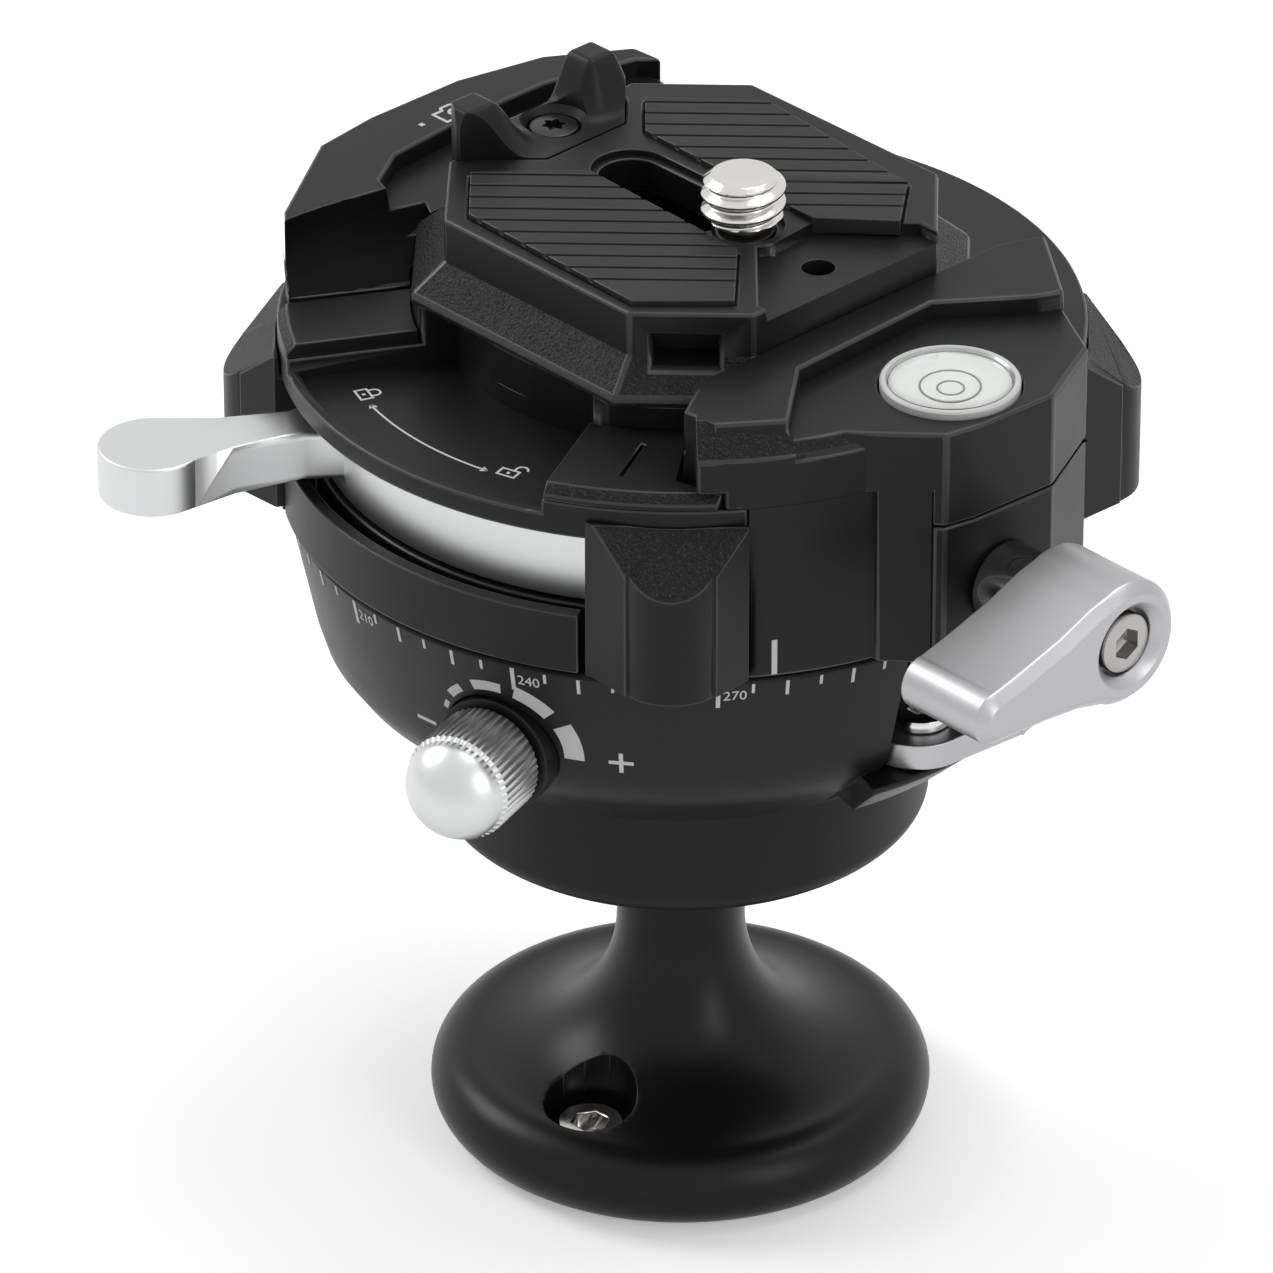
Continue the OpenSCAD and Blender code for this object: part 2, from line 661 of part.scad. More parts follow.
module clamp_screws() color("#c9c9c4") for (turn = [45:90:315]) rotate([0, 0, turn])
    translate([clamp_screw_reach, 0, 0]) difference() {
        union() {
            translate([0, 0, deck_floor - 2.2]) cylinder(r = 2.2, h = 2);
            translate([0, 0, boss_top - 3]) cylinder(r = 1.4, h = deck_floor - 2 - boss_top + 3);
        }
        translate([0, 0, deck_floor - 1.2]) hex(2.2, 3);
    }

// Region between the deck and the disc's rim, cut along the moving jaw's foot
module left_guide_outline() intersection() {
    ring_part(deck_r + gap, pan_r - fit, -150, sector_from - 0.3);
    polygon([[-21.2, -24.6], [-13.5, -10.9], [0, -10.9], [0, -31], [-21.2, -31]]);
}

module left_guide_plate() color("#26262a") translate([0, 0, disc_top])
    linear_extrude(guide_t) left_guide_outline();

// The front guide ends at the dark gap beside the fixed jaw
module front_guide_outline() intersection() {
    ring_part(deck_r + gap, pan_r - fit, sector_to + 0.3, apron_from - 3.5);
    polygon([[0, -31], [0, -15], [15.4, -14], [19.9, -19.6], [23.6, -18.4], [25, -31]]);
}

module front_guide_plate() color("#26262a") translate([0, 0, disc_top]) difference() {
    linear_extrude(guide_t) front_guide_outline();
    translate([15.4, -19.7, guide_t - 0.4]) rotate([0, 0, -63]) cube([5, 0.3, 2], center = true);
}

// Dovetail section across the plate, grown by a clearance
module dovetail(width, clear) {
    foot = width / 2 + clear;
    deck = foot - (plate_w - deck_w) / 2;
    neck = deck_z - plate_z;
    polygon([[-foot, -clear], [foot, -clear], [foot, plate_foot_t], [deck, neck], [deck, plate_t],
        [-deck, plate_t], [-deck, neck], [-foot, plate_foot_t]]);
}

// The section as a bar that lies across the given turn
module dovetail_bar(width, turn, clear = 0) translate([plate_x, plate_y, plate_z]) rotate([0, 0, turn])
    rotate([90, 0, 0]) linear_extrude(90, center = true) dovetail(width, clear);

// Front of the fixed jaw: flush with the disc, then sloping in to its top edge
module jaw_front(base, top_r, top, slope, from, to) intersection() {
    rotate_extrude() polygon([[22, base], [pan_r - fit, base], [pan_r - fit, top - slope], [top_r, top],
        [22, top]]);
    translate([0, 0, base]) linear_extrude(10) slice(from, to);
}

module fixed_jaw() color("#26262a") difference() {
    union() {
        jaw_front(disc_top + guide_t + gap, pan_r - 2.2, jaw_top, jaw_slope, jaw_from, tier_to);
        jaw_front(disc_top, pan_r - 2.2, jaw_top, jaw_slope, apron_from - 3.2, tier_to);
        jaw_front(disc_top, pan_r - 0.9, platform_z, platform_slope, tier_to - 0.1, platform_to);
        // Jaw and the platform of the bubble level
        translate([0, 0, disc_top]) linear_extrude(platform_z - disc_top) polygon(concat([[17, -13.4],
            [18.2, -16.3], [19.5, -18.4], [22.5, -18.1], [25.7, -13.8], [27.3, -10.6]], side_wall,
            [[25.5, 14.7], [18.5, 19.8], [17, 16]]));
        // Raised tier that grips the plate
        translate([0, 0, disc_top]) linear_extrude(jaw_top - disc_top) polygon([[17, -13.4], [18.2, -16.3],
            [19.5, -18.4], [22.5, -18.1], [25.7, -13.8], [20.55, -7.7], [20, 6.4], [24.6, 12.65],
            [25.5, 14.7], [18.5, 19.8], [17, 16]]);
        // Outer wall above the side panel
        translate([0, 0, disc_z]) linear_extrude(platform_z - 1 - disc_z)
            wall_part(pan_r - 1.85, apron_to, wall_to - 0.2);
        // Apron between the front lobe and the side panel
        translate([0, 0, pan_z]) linear_extrude(disc_top - pan_z) {
            ring_part(pan_r - 1.85, pan_r - 0.02, apron_from + 0.15, apron_to - 0.15);
            wall_part(pan_r - 1.85, apron_from + 0.15, apron_to - 0.15);
        }
    }
    dovetail_bar(plate_w, 0, gap);
    translate([level_x, level_y, platform_z - 2.6]) cylinder(d = level_d + 2 * fit, h = 10);
    for (y = jaw_screw_y) translate([jaw_screw_x, y, disc_top - eps]) cylinder(r = 1.45, h = 3.8 + eps);
    translate([0, 0, disc_top - eps]) cylinder(r = deck_r + gap, h = deck_floor - disc_top + eps + gap);
}

module jaw_screws() color("#c9c9c4") for (y = jaw_screw_y) translate([jaw_screw_x, y, disc_z]) difference() {
    union() {
        translate([0, 0, 0.2]) cylinder(r = 2.3, h = 1.3);
        translate([0, 0, 1]) cylinder(r = 1.4, h = disc_t + 2.2);
    }
    translate([0, 0, -0.2]) hex(2.3, 1.1);
}

module level_cup() color("#e6e6e2") translate([level_x, level_y, platform_z - 2.6]) difference() {
    cylinder(d = level_d, h = 3.3);
    translate([0, 0, 0.8]) cylinder(d = level_d - 1.8, h = 10);
}

module level_lens() color("#f2f3ee") translate([level_x, level_y, platform_z - 1.7]) intersection() {
    cylinder(d = level_d - 1.9, h = 3.4);
    translate([0, 0, -14]) sphere(17);
}

// Outline of the moving jaw's top, with its inner edge behind the plate
module jaw_top_outline() polygon([[-21.7, -20.4], [-23.6, -18.7], [-29.5, -9.8], [-30.3, -4], [-30.3, 5],
    [-28.7, 12.5], [-24.9, 18.6], [-22, 18.8], [-23.4, 17.4], [-25.3, 9.6], [-25.2, 0.7], [-24.4, -6.7],
    [-22.2, -10.3], [-21.4, -19.1]]);

// Outline of its gripping nose and foot, which ends along the left guide plate
module jaw_nose_outline() polygon([[-28, -12], [-21.4, -19.1], [-21.4, -13.4], [-channel_x - gap, -13.4],
    [-channel_x - gap, 17.4], [-21.6, 18.4], [-24.6, 18.2], [-28, 12]]);

module jaw_foot_outline() polygon([[-22.2, -10.3], [-21.7, -20.4], [-20, -21.6], [-15.4, -13.5],
    [-17.2, -12]]);

module moving_jaw() color("#26262a") difference() {
    union() {
        difference() {
            translate([0, 0, disc_top + gap]) {
                linear_extrude(jaw_top - disc_top - gap) jaw_top_outline();
                linear_extrude(nose_z - disc_top - gap) jaw_nose_outline();
                linear_extrude(jaw_top - disc_top - gap) jaw_foot_outline();
            }
            // Concave front that sweeps down to the guide plate, wider towards the release plate
            translate([-23.6, -29.6, disc_top + guide_t]) rotate([0, 0, 61]) rotate([0, 90 - sweep_a, 0])
                cylinder(r1 = 0, r2 = sweep_l * tan(sweep_a), h = sweep_l);
        }
        translate([-tongue_out, -tongue_half, disc_top - tongue_t])
            cube([tongue_out - tongue_in, 2 * tongue_half, tongue_t]);
        translate([-tongue_out, -tongue_half, disc_top - 0.5])
            cube([tongue_out - channel_x - 0.3, 2 * tongue_half, 2]);
    }
    dovetail_bar(plate_w, 0, gap);
    translate([pin_x, 0, disc_z]) cylinder(r = pin_r, h = disc_t + 1.5);
}

module follower_pin() color("#b9b9b6") translate([pin_x, 0, ring_top - 3.2])
    cylinder(r = pin_r - 0.01, h = disc_top + 1.4 - ring_top + 3.2);

module ears_outline(clear) polygon([[ears_x - 1.6 - clear, -7.2 - clear], [ears_x + 0.3, -8.2 - clear],
    [ears_x + 1.6, -6.4 - clear], [ears_x + 4.6 + clear, -3.2], [ears_x + 4.4 + clear, 5],
    [ears_x + 1.6, 7.7 + clear], [ears_x - 1.6 - clear, 7.4 + clear]]);

module pad_outline_left(clear) polygon([[-13.2 - clear, -9.3], [-8.4, -13.9 - clear], [9.75, -14.4 - clear],
    [14.9 + clear, -8.9], [9.3, -3.2 + clear], [-7.3, -2.6 + clear]]);

module pad_outline_right(clear) polygon([[-13.05 - clear, 8.5], [-9.15, 4.8 - clear], [9.55, 4.2 - clear],
    [14.4 + clear, 8.6], [10.4, 13.3 + clear], [-6.3, 14.9 + clear]]);

module release_plate() color("#2a2a2d") difference() {
    intersection() {
        dovetail_bar(plate_w, 0);
        dovetail_bar(deck_l + plate_w - deck_w, 90);
        dovetail_bar(corner_w, 45);
        dovetail_bar(corner_w, -45);
    }
    // Slot of the camera screw, its chamfer and the pocket of its head
    for (slot = [[2.5, plate_z - 1], [3.1, plate_top - 0.5], [6.1, plate_z - 10 + 3.4]])
        translate([plate_x + screw_x - slot_travel / 2, 0.3, slot[1]]) {
            translate([-slot_travel / 2, -slot[0], 0]) cube([slot_travel, 2 * slot[0], 10]);
            for (side = [-1, 1]) translate([side * slot_travel / 2, 0, 0]) cylinder(r = slot[0], h = 10);
        }
    // Pads, ears and the notch with its small thread
    translate([0, 0, plate_top - pad_t + pad_proud]) linear_extrude(5) {
        pad_outline_left(fit);
        pad_outline_right(fit);
    }
    translate([0, 0, ears_z]) linear_extrude(10) ears_outline(gap);
    translate([ears_screw_x, ears_y, deck_z]) cylinder(r = 1.25, h = 10);
    translate([0, 0, plate_top - 1]) linear_extrude(5) polygon([[9.4, -1.3], [10, -0.25], [9.6, 4.35],
        [15, 9.9], [25, 10.1], [25, -7.6], [16.15, -7.6]]);
    translate([notch_screw_x, notch_screw_y, plate_top - 3]) cylinder(r = 1.25, h = 5);
    // Window in the corner that faces the bubble level
    translate([plate_x, plate_y, plate_z + 2.4]) rotate([0, 0, -45])
        translate([corner_w / 2 - 5, -2.4, 0]) cube([10, 4.8, 2.4]);
}

// Grooves of both pads run across the dovetail at 45 degrees
module pad_grooves_cut(y) for (i = [0:pad_grooves - 1])
    translate([0, y, plate_top + pad_proud]) rotate([0, 0, 45])
        translate([-40, (i - (pad_grooves - 1) / 2) * groove_pitch - 0.15, -0.3]) cube([80, 0.3, 1]);

module left_pad() color("#1c1c1e") difference() {
    translate([0, 0, plate_top - pad_t + pad_proud]) linear_extrude(pad_t) pad_outline_left(0);
    pad_grooves_cut(-8);
}

module right_pad() color("#1c1c1e") difference() {
    translate([0, 0, plate_top - pad_t + pad_proud]) linear_extrude(pad_t) pad_outline_right(0);
    pad_grooves_cut(9);
}

module camera_screw() color("#c9c9c4") translate([plate_x + screw_x, 0.3, 0]) difference() {
    union() {
        translate([0, 0, plate_z + 0.2]) cylinder(r = 5.8, h = clip_z - plate_z - 0.3);
        translate([0, 0, clip_z - 0.2]) cylinder(r = 2.35, h = thread_z - clip_z + 0.5);
        translate([0, 0, thread_z]) cylinder(d = camera_screw_d, h = plate_top + camera_screw_h - thread_z);
    }
    translate([0, 0, plate_z + 0.1]) hex(4.6, 1.6);
}

module screw_clip() color("#b9b9b6") translate([plate_x + screw_x, 0.3, clip_z]) difference() {
    cylinder(r = 5.6, h = 0.5);
    translate([0, 0, -eps]) cylinder(r = 2.35 + fit, h = 5);
}

module anti_twist_ears() color("#26262a") difference() {
    intersection() {
        translate([0, 0, ears_z]) linear_extrude(10) ears_outline(0);
        // Two horns with a saddle between them
        translate([0, 0, ears_z]) rotate([90, 0, 90]) linear_extrude(60, center = true) difference() {
            polygon([[-8.3, 0], [-8.3, 5.6], [-7.6, 6.6], [-6, 6.8], [-5.2, 6.2], [-4, 3.6], [-2.4, 2.4],
                [3.4, 2.4], [4.2, 3.8], [4.8, 6.2], [5.6, 6.8], [6.8, 6.6], [7.6, 5.6], [7.6, 0]]);
        }
        rotate([90, 0, 0]) linear_extrude(60, center = true) polygon([[ears_x - 2, ears_z - 1],
            [ears_x - 2, plate_top + 5.4], [ears_x + 2.2, plate_top + 5.4], [ears_x + 2.9, plate_top + 2.2],
            [ears_x + 5, plate_top + 0.2], [ears_x + 5, ears_z - 1]]);
    }
    translate([ears_screw_x, ears_y, 0]) {
        cylinder(r = 1.5, h = 100);
        translate([0, 0, plate_top - 0.9]) cylinder(r = 2.1, h = 10);
    }
}

module ears_screw() color("#c9c9c4") translate([ears_screw_x, ears_y, 0]) difference() {
    union() {
        translate([0, 0, plate_top - 0.9]) cylinder(r = 1.9, h = 0.9);
        translate([0, 0, deck_z + 0.3]) cylinder(r = 1.2, h = plate_top - 0.5 - deck_z - 0.3);
    }
    translate([0, 0, plate_top - 0.6]) hex(1.7, 2);
}

foot();
anti_twist_screw();
ball_stem();
ball_liner();
pressure_cup();
seat_ring();
retaining_bowl();
ball_housing();
thrust_washer();
pan_retainer();
spindle_screw();
friction_bush();
friction_screw();
friction_knob();
friction_pad();
ball_lock_lever();
ball_lock_shaft();
ball_lever_screw();
ball_lock_shoe();
pan_body();
pan_bush();
window_skirt();
detent_ball();
detent_spring();
pan_lock_lever();
pan_lock_shaft();
pan_lever_screw();
pan_brake_shoe();
cam_ring();
clamp_disc();
clamp_screws();
left_guide_plate();
front_guide_plate();
fixed_jaw();
jaw_screws();
level_cup();
level_lens();
moving_jaw();
follower_pin();
release_plate();
left_pad();
right_pad();
camera_screw();
screw_clip();
anti_twist_ears();
ears_screw();
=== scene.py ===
# Inverted ball head: finishes, rounded edges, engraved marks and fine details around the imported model.
import json
import math

import bmesh
import bpy
from mathutils import Matrix, Vector


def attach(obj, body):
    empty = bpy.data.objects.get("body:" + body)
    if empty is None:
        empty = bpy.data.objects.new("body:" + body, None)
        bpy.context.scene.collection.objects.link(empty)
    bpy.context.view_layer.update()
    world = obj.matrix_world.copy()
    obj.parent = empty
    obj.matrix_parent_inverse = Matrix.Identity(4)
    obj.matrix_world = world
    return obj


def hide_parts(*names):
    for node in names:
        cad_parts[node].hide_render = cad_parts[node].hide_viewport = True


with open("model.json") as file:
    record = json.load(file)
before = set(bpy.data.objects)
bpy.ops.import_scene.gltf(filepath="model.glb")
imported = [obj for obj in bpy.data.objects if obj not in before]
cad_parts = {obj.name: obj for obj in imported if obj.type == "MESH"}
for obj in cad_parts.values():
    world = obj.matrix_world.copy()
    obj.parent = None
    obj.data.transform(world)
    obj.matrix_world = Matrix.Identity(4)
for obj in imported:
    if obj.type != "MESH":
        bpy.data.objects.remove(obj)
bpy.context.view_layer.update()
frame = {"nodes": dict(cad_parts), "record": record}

mm = 0.001
fullTurn = 2 * math.pi
scene = bpy.context.scene
scene.view_settings.view_transform = "Standard"

# Angles in degrees, distance and aim in millimetres, as fitted to the photograph
cameraSetup = {
    "azimuth": 46.62,
    "elevation": 30.21,
    "distance": 862.9,
    "lens": 320.6,
    "aimRight": -3.42,
    "aimHeight": 42.03,
}


def placeCamera(setup):
    turn = math.radians(setup["azimuth"])
    lift = math.radians(setup["elevation"])
    right = Vector((math.cos(turn), math.sin(turn), 0))
    back = Vector((math.sin(turn) * math.cos(lift), -math.cos(turn) * math.cos(lift), math.sin(lift)))
    up = back.cross(right)
    aim = right * setup["aimRight"] * mm + Vector((0, 0, setup["aimHeight"] * mm))
    data = bpy.data.cameras.new("photoCamera")
    data.lens = setup["lens"]
    data.sensor_width = 36
    data.clip_start = 0.05
    camera = bpy.data.objects.new("photoCamera", data)
    camera.matrix_world = Matrix((right, up, back)).transposed().to_4x4()
    camera.location = aim + back * setup["distance"] * mm
    scene.collection.objects.link(camera)
    scene.camera = camera


placeCamera(cameraSetup)
print("camera placed")

# Sizes in metres; glow and backdrop are what the camera sees, ambient is what lights the part
stageSetup = {"floorSize": 6.0, "floorColour": 0.93, "floorGlow": 0.34, "backdrop": 1.0, "ambient": 0.42}

# Soft boxes: place in metres, size in metres, power in watts
lampSetup = {
    "keyLeft": {"place": (-0.95, -0.35, 0.85), "size": (0.55, 0.55), "power": 6.0},
    "topSoft": {"place": (0.15, 0.35, 1.15), "size": (0.7, 0.7), "power": 4.5},
    "rightFill": {"place": (1.05, 0.0, 0.5), "size": (0.4, 0.7), "power": 2.2},
}


def nodesOf(material):
    material.use_nodes = True
    tree = material.node_tree
    return tree, tree.nodes["Principled BSDF"]


# Either side may be a number or another node's output
def mathNode(tree, operation, first, second):
    node = tree.nodes.new("ShaderNodeMath")
    node.operation = operation
    for socket, value in zip(node.inputs, (first, second)):
        if isinstance(value, (int, float)):
            socket.default_value = value
        else:
            tree.links.new(value, socket)
    return node.outputs[0]


# One for camera, glossy and transmission rays, nought for the rays that carry light
def seenRays(tree):
    ray = tree.nodes.new("ShaderNodeLightPath").outputs
    seen = mathNode(tree, "MAXIMUM", ray["Is Camera Ray"], ray["Is Glossy Ray"])
    return mathNode(tree, "MAXIMUM", seen, ray["Is Transmission Ray"])


def buildStage(setup):
    mesh = bpy.data.meshes.new("floor")
    half = setup["floorSize"] / 2
    corners = [(-half, -half, 0), (half, -half, 0), (half, half, 0), (-half, half, 0)]
    mesh.from_pydata(corners, [], [(0, 1, 2, 3)])
    floor = bpy.data.objects.new("floor", mesh)
    scene.collection.objects.link(floor)
    material = bpy.data.materials.new("pale floor")
    tree, shader = nodesOf(material)
    colour = setup["floorColour"]
    shader.inputs["Base Color"].default_value = (colour, colour, colour, 1)
    shader.inputs["Roughness"].default_value = 0.9
    shader.inputs["Specular IOR Level"].default_value = 0.0
    # Seen directly or in a reflection the floor is a little brighter, and it lights nothing
    glow = tree.nodes.new("ShaderNodeEmission")
    glow.inputs["Color"].default_value = (1, 1, 1, 1)
    strength = mathNode(tree, "MULTIPLY", seenRays(tree), setup["floorGlow"])
    tree.links.new(strength, glow.inputs["Strength"])
    both = tree.nodes.new("ShaderNodeAddShader")
    tree.links.new(shader.outputs[0], both.inputs[0])
    tree.links.new(glow.outputs[0], both.inputs[1])
    tree.links.new(both.outputs[0], tree.nodes["Material Output"].inputs["Surface"])
    mesh.materials.append(material)


def background(tree, strength):
    node = tree.nodes.new("ShaderNodeBackground")
    node.inputs["Color"].default_value = (1, 1, 1, 1)
    node.inputs["Strength"].default_value = strength
    return node.outputs[0]


def buildWorld(setup):
    world = bpy.data.worlds.new("studio")
    scene.world = world
    world.use_nodes = True
    tree = world.node_tree
    tree.nodes.clear()
    output = tree.nodes.new("ShaderNodeOutputWorld")
    mix = tree.nodes.new("ShaderNodeMixShader")
    link = tree.links.new
    link(seenRays(tree), mix.inputs[0])
    link(background(tree, setup["ambient"]), mix.inputs[1])
    link(background(tree, setup["backdrop"]), mix.inputs[2])
    link(mix.outputs[0], output.inputs["Surface"])


def buildLamps(setup):
    for name, lamp in setup.items():
        data = bpy.data.lights.new(name, "AREA")
        data.shape = "RECTANGLE"
        data.size, data.size_y = lamp["size"]
        data.energy = lamp["power"]
        light = bpy.data.objects.new(name, data)
        place = Vector(lamp["place"])
        aim = Vector((0, 0, 0.05)) - place
        light.rotation_euler = aim.to_track_quat("-Z", "Y").to_euler()
        light.location = place
        scene.collection.objects.link(light)


buildStage(stageSetup)
buildWorld(stageSetup)
buildLamps(lampSetup)
print("stage and lights ready")


# Noise over the piece's own coordinates: scale is its bumps in one metre
def noiseFrom(tree, scale, detail):
    place = tree.nodes.new("ShaderNodeTexCoord")
    noise = tree.nodes.new("ShaderNodeTexNoise")
    noise.inputs["Scale"].default_value = scale
    noise.inputs["Detail"].default_value = detail
    tree.links.new(place.outputs["Object"], noise.inputs["Vector"])
    return noise.outputs["Fac"]


def mixedColour(tree, share, first, second):
    mix = tree.nodes.new("ShaderNodeMixRGB")
    mix.inputs["Color1"].default_value = (*first, 1)
    mix.inputs["Color2"].default_value = (*second, 1)
    tree.links.new(share, mix.inputs["Fac"])
    return mix.outputs["Color"]


# A metal, plastic or paint: grain is the bumps in one metre, grainDepth is their height in millimetres
def finish(name, colour, roughness, metallic=0.0, grain=9000, grainDepth=0.012, specular=0.5,
           spread=0.05, shade=0.0):
    material = bpy.data.materials.new(name)
    tree, shader = nodesOf(material)
    shader.inputs["Metallic"].default_value = metallic
    shader.inputs["Specular IOR Level"].default_value = specular
    # Handling and age make the roughness drift a little from place to place
    roughNode = tree.nodes.new("ShaderNodeMapRange")
    roughNode.inputs["To Min"].default_value = roughness - spread
    roughNode.inputs["To Max"].default_value = roughness + spread
    tree.links.new(noiseFrom(tree, 160, 4), roughNode.inputs["Value"])
    tree.links.new(roughNode.outputs["Result"], shader.inputs["Roughness"])
    # The colour varies with the grain, as blasted and anodised metal does
    fine = noiseFrom(tree, grain, 2)
    darker = [value * (1 - shade) for value in colour]
    lighter = [min(1, value * (1 + shade)) for value in colour]
    tree.links.new(mixedColour(tree, fine, darker, lighter), shader.inputs["Base Color"])
    bump = tree.nodes.new("ShaderNodeBump")
    bump.inputs["Strength"].default_value = 0.5
    bump.inputs["Distance"].default_value = grainDepth * mm
    tree.links.new(fine, bump.inputs["Height"])
    tree.links.new(bump.outputs["Normal"], shader.inputs["Normal"])
    return material


# Cast surface: coarse bumps, and sparse lighter points painted into the colour as glints
def castFinish(name, colour, glintColour, grain, grainDepth):
    material = finish(name, colour, 0.42, grain=grain, grainDepth=grainDepth, specular=0.18)
    tree, shader = nodesOf(material)
    paintedGlints = tree.nodes.new("ShaderNodeMapRange")
    paintedGlints.inputs["From Min"].default_value = 0.56
    paintedGlints.inputs["From Max"].default_value = 0.72
    tree.links.new(noiseFrom(tree, grain * 1.3, 1), paintedGlints.inputs["Value"])
    tree.links.new(mixedColour(tree, paintedGlints.outputs["Result"], colour, glintColour), shader.inputs["Base Color"])
    tree.nodes["Bump"].inputs["Strength"].default_value = 1.0
    return material


def clearAcrylic():
    material = bpy.data.materials.new("clear acrylic")
    tree, shader = nodesOf(material)
    shader.inputs["Base Color"].default_value = (0.96, 0.97, 0.95, 1)
    shader.inputs["Roughness"].default_value = 0.03
    shader.inputs["IOR"].default_value = 1.35
    shader.inputs["Transmission Weight"].default_value = 1.0
    return material


satinBlack = finish("satin black anodised", (0.0075, 0.0075, 0.0085), 0.4, specular=0.2, shade=0.3)
footBlack = finish("satin black foot", (0.0045, 0.0045, 0.005), 0.33, specular=0.2, shade=0.3)
# Lighter black laid on the rounded edges: painted edge highlight
paintedEdgeHighlightBlack = finish("satin black edge", (0.022, 0.022, 0.024), 0.34, specular=0.42, shade=0.2)
darkSatin = finish("dark satin bowl", (0.009, 0.009, 0.0098), 0.45, specular=0.17, shade=0.3)
# The second colour is the painted glint on the cast surface
roughCast = castFinish("rough cast black", (0.004, 0.004, 0.0045), (0.03, 0.03, 0.032), 4200, 0.14)
# Darker, duller black for the moving jaw's concave front: painted shade where the recess lies in shadow
recessPaintedShade = finish("recess black", (0.004, 0.004, 0.0045), 0.6, specular=0.06, shade=0.3)
satinSilver = finish("satin silver anodised", (0.44, 0.44, 0.45), 0.38, metallic=1.0, grainDepth=0.004,
                     spread=0.03, shade=0.05)
brightSilver = finish("bright silver", (0.62, 0.625, 0.63), 0.36, metallic=1.0, grainDepth=0.003,
                      spread=0.02, shade=0.03)
collarSteel = finish("polished collar", (0.42, 0.42, 0.43), 0.1, metallic=1.0, grainDepth=0.002)
steel = finish("turned stainless", (0.66, 0.65, 0.635), 0.17, metallic=1.0, grainDepth=0.003)
screwSteel = finish("screw steel", (0.4, 0.39, 0.38), 0.22, metallic=1.0, grainDepth=0.003)
darkSteel = finish("blackened steel", (0.05, 0.05, 0.052), 0.3, metallic=0.8, grainDepth=0.004)
rubber = finish("pad rubber", (0.014, 0.014, 0.0155), 0.55, grain=5000, grainDepth=0.03, specular=0.3,
                shade=0.3)
bronze = finish("bearing bronze", (0.55, 0.34, 0.14), 0.35, metallic=1.0)
plastic = finish("liner plastic", (0.02, 0.02, 0.022), 0.35, specular=0.3)
levelWhite = finish("level white", (0.62, 0.62, 0.63), 0.35)
levelBand = finish("level grey band", (0.42, 0.43, 0.44), 0.25, metallic=0.6)
levelFluid = finish("level fluid", (0.8, 0.8, 0.8), 0.12, grainDepth=0.001)
levelLine = finish("level line", (0.16, 0.16, 0.17), 0.4)
markWhite = finish("engraved white", (0.56, 0.56, 0.57), 0.6, grainDepth=0.006, shade=0.12)
levelClear = clearAcrylic()

slotFinish = {
    "black_anodised": satinBlack,
    "silver_anodised": satinSilver,
    "ball_coating": satinBlack,
    "liner_plastic": plastic,
    "bronze": bronze,
    "stainless": steel,
    "pad_rubber": rubber,
    "level_white": levelWhite,
    "level_clear": levelClear,
}

bodyOfNode = {}
for bodyName, members in frame["record"]["behaviour"]["bodies"].items():
    for nodeName in members:
        bodyOfNode[nodeName] = bodyName
print("finishes ready, nodes on bodies:", len(bodyOfNode))


# Straight runs between places, as (place, value) pairs
def ramp(pairs, place):
    for (start, low), (end, high) in zip(pairs, pairs[1:]):
        if place <= end:
            share = max(0, (place - start) / (end - start))
            return low + (high - low) * share
    return pairs[-1][1]


# The piece moves with the node's body, and usually takes the node's place in the picture
def linkPiece(name, mesh, nodeName, replaces=True):
    piece = bpy.data.objects.new(name, mesh)
    scene.collection.objects.link(piece)
    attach(piece, bodyOfNode[nodeName])
    if replaces:
        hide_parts(nodeName)


def smoothFaces(mesh):
    for face in mesh.polygons:
        face.use_smooth = True


# Turns a bmesh drawn in millimetres into a smooth-shaded mesh in metres
def meshFrom(work, name, materials, sharp=32):
    bmesh.ops.recalc_face_normals(work, faces=work.faces)
    bmesh.ops.scale(work, vec=(mm, mm, mm), verts=work.verts)
    mesh = bpy.data.meshes.new(name)
    work.to_mesh(mesh)
    work.free()
    for material in materials:
        mesh.materials.append(material)
    smoothFaces(mesh)
    mesh.set_sharp_from_angle(angle=math.radians(sharp))
    return mesh


def bakedMesh(piece, name):
    depsgraph = bpy.context.evaluated_depsgraph_get()
    mesh = bpy.data.meshes.new_from_object(piece.evaluated_get(depsgraph))
    mesh.name = name
    bpy.data.objects.remove(piece)
    return mesh


# Sweeps a profile of radii and heights round an axis; a radius may be a function of the turn
def lathe(work, profile, sides, place):
    rings = []
    for radius, height in profile:
        ring = []
        if not callable(radius) and radius == 0:
            ring.append(work.verts.new(place @ Vector((0, 0, height))))
        else:
            for side in range(sides):
                turn = fullTurn * side / sides
                reach = radius(turn) if callable(radius) else radius
                point = Vector((reach * math.cos(turn), reach * math.sin(turn), height))
                ring.append(work.verts.new(place @ point))
        rings.append(ring)
    for low, high in zip(rings, rings[1:]):
        for side in range(sides):
            after = side + 1
            corners = [low[side % len(low)], low[after % len(low)],
                       high[after % len(high)], high[side % len(high)]]
            work.faces.new(list(dict.fromkeys(corners)))


def turnedPiece(name, nodeName, profile, sides, place, material, sharp=32, replaces=True):
    work = bmesh.new()
    lathe(work, profile, sides, place)
    mesh = meshFrom(work, name + "Mesh", [material], sharp=sharp)
    linkPiece(name, mesh, nodeName, replaces=replaces)


# Axis through a point on the head's own axis, pointing outwards in one direction
def outwards(turn, height):
    lift = Matrix.Translation((0, 0, height))
    return lift @ Matrix.Rotation(math.radians(turn), 4, "Z") @ Matrix.Rotation(math.pi / 2, 4, "Y")


def hexRadius(acrossCorners):
    apothem = acrossCorners / 2 * math.cos(math.pi / 6)

    def radius(turn):
        return apothem / math.cos((turn % (math.pi / 3)) - math.pi / 6)
    return radius


def starRadius(middle, swing):
    def radius(turn):
        return middle * (1 + swing * math.cos(6 * turn))
    return radius


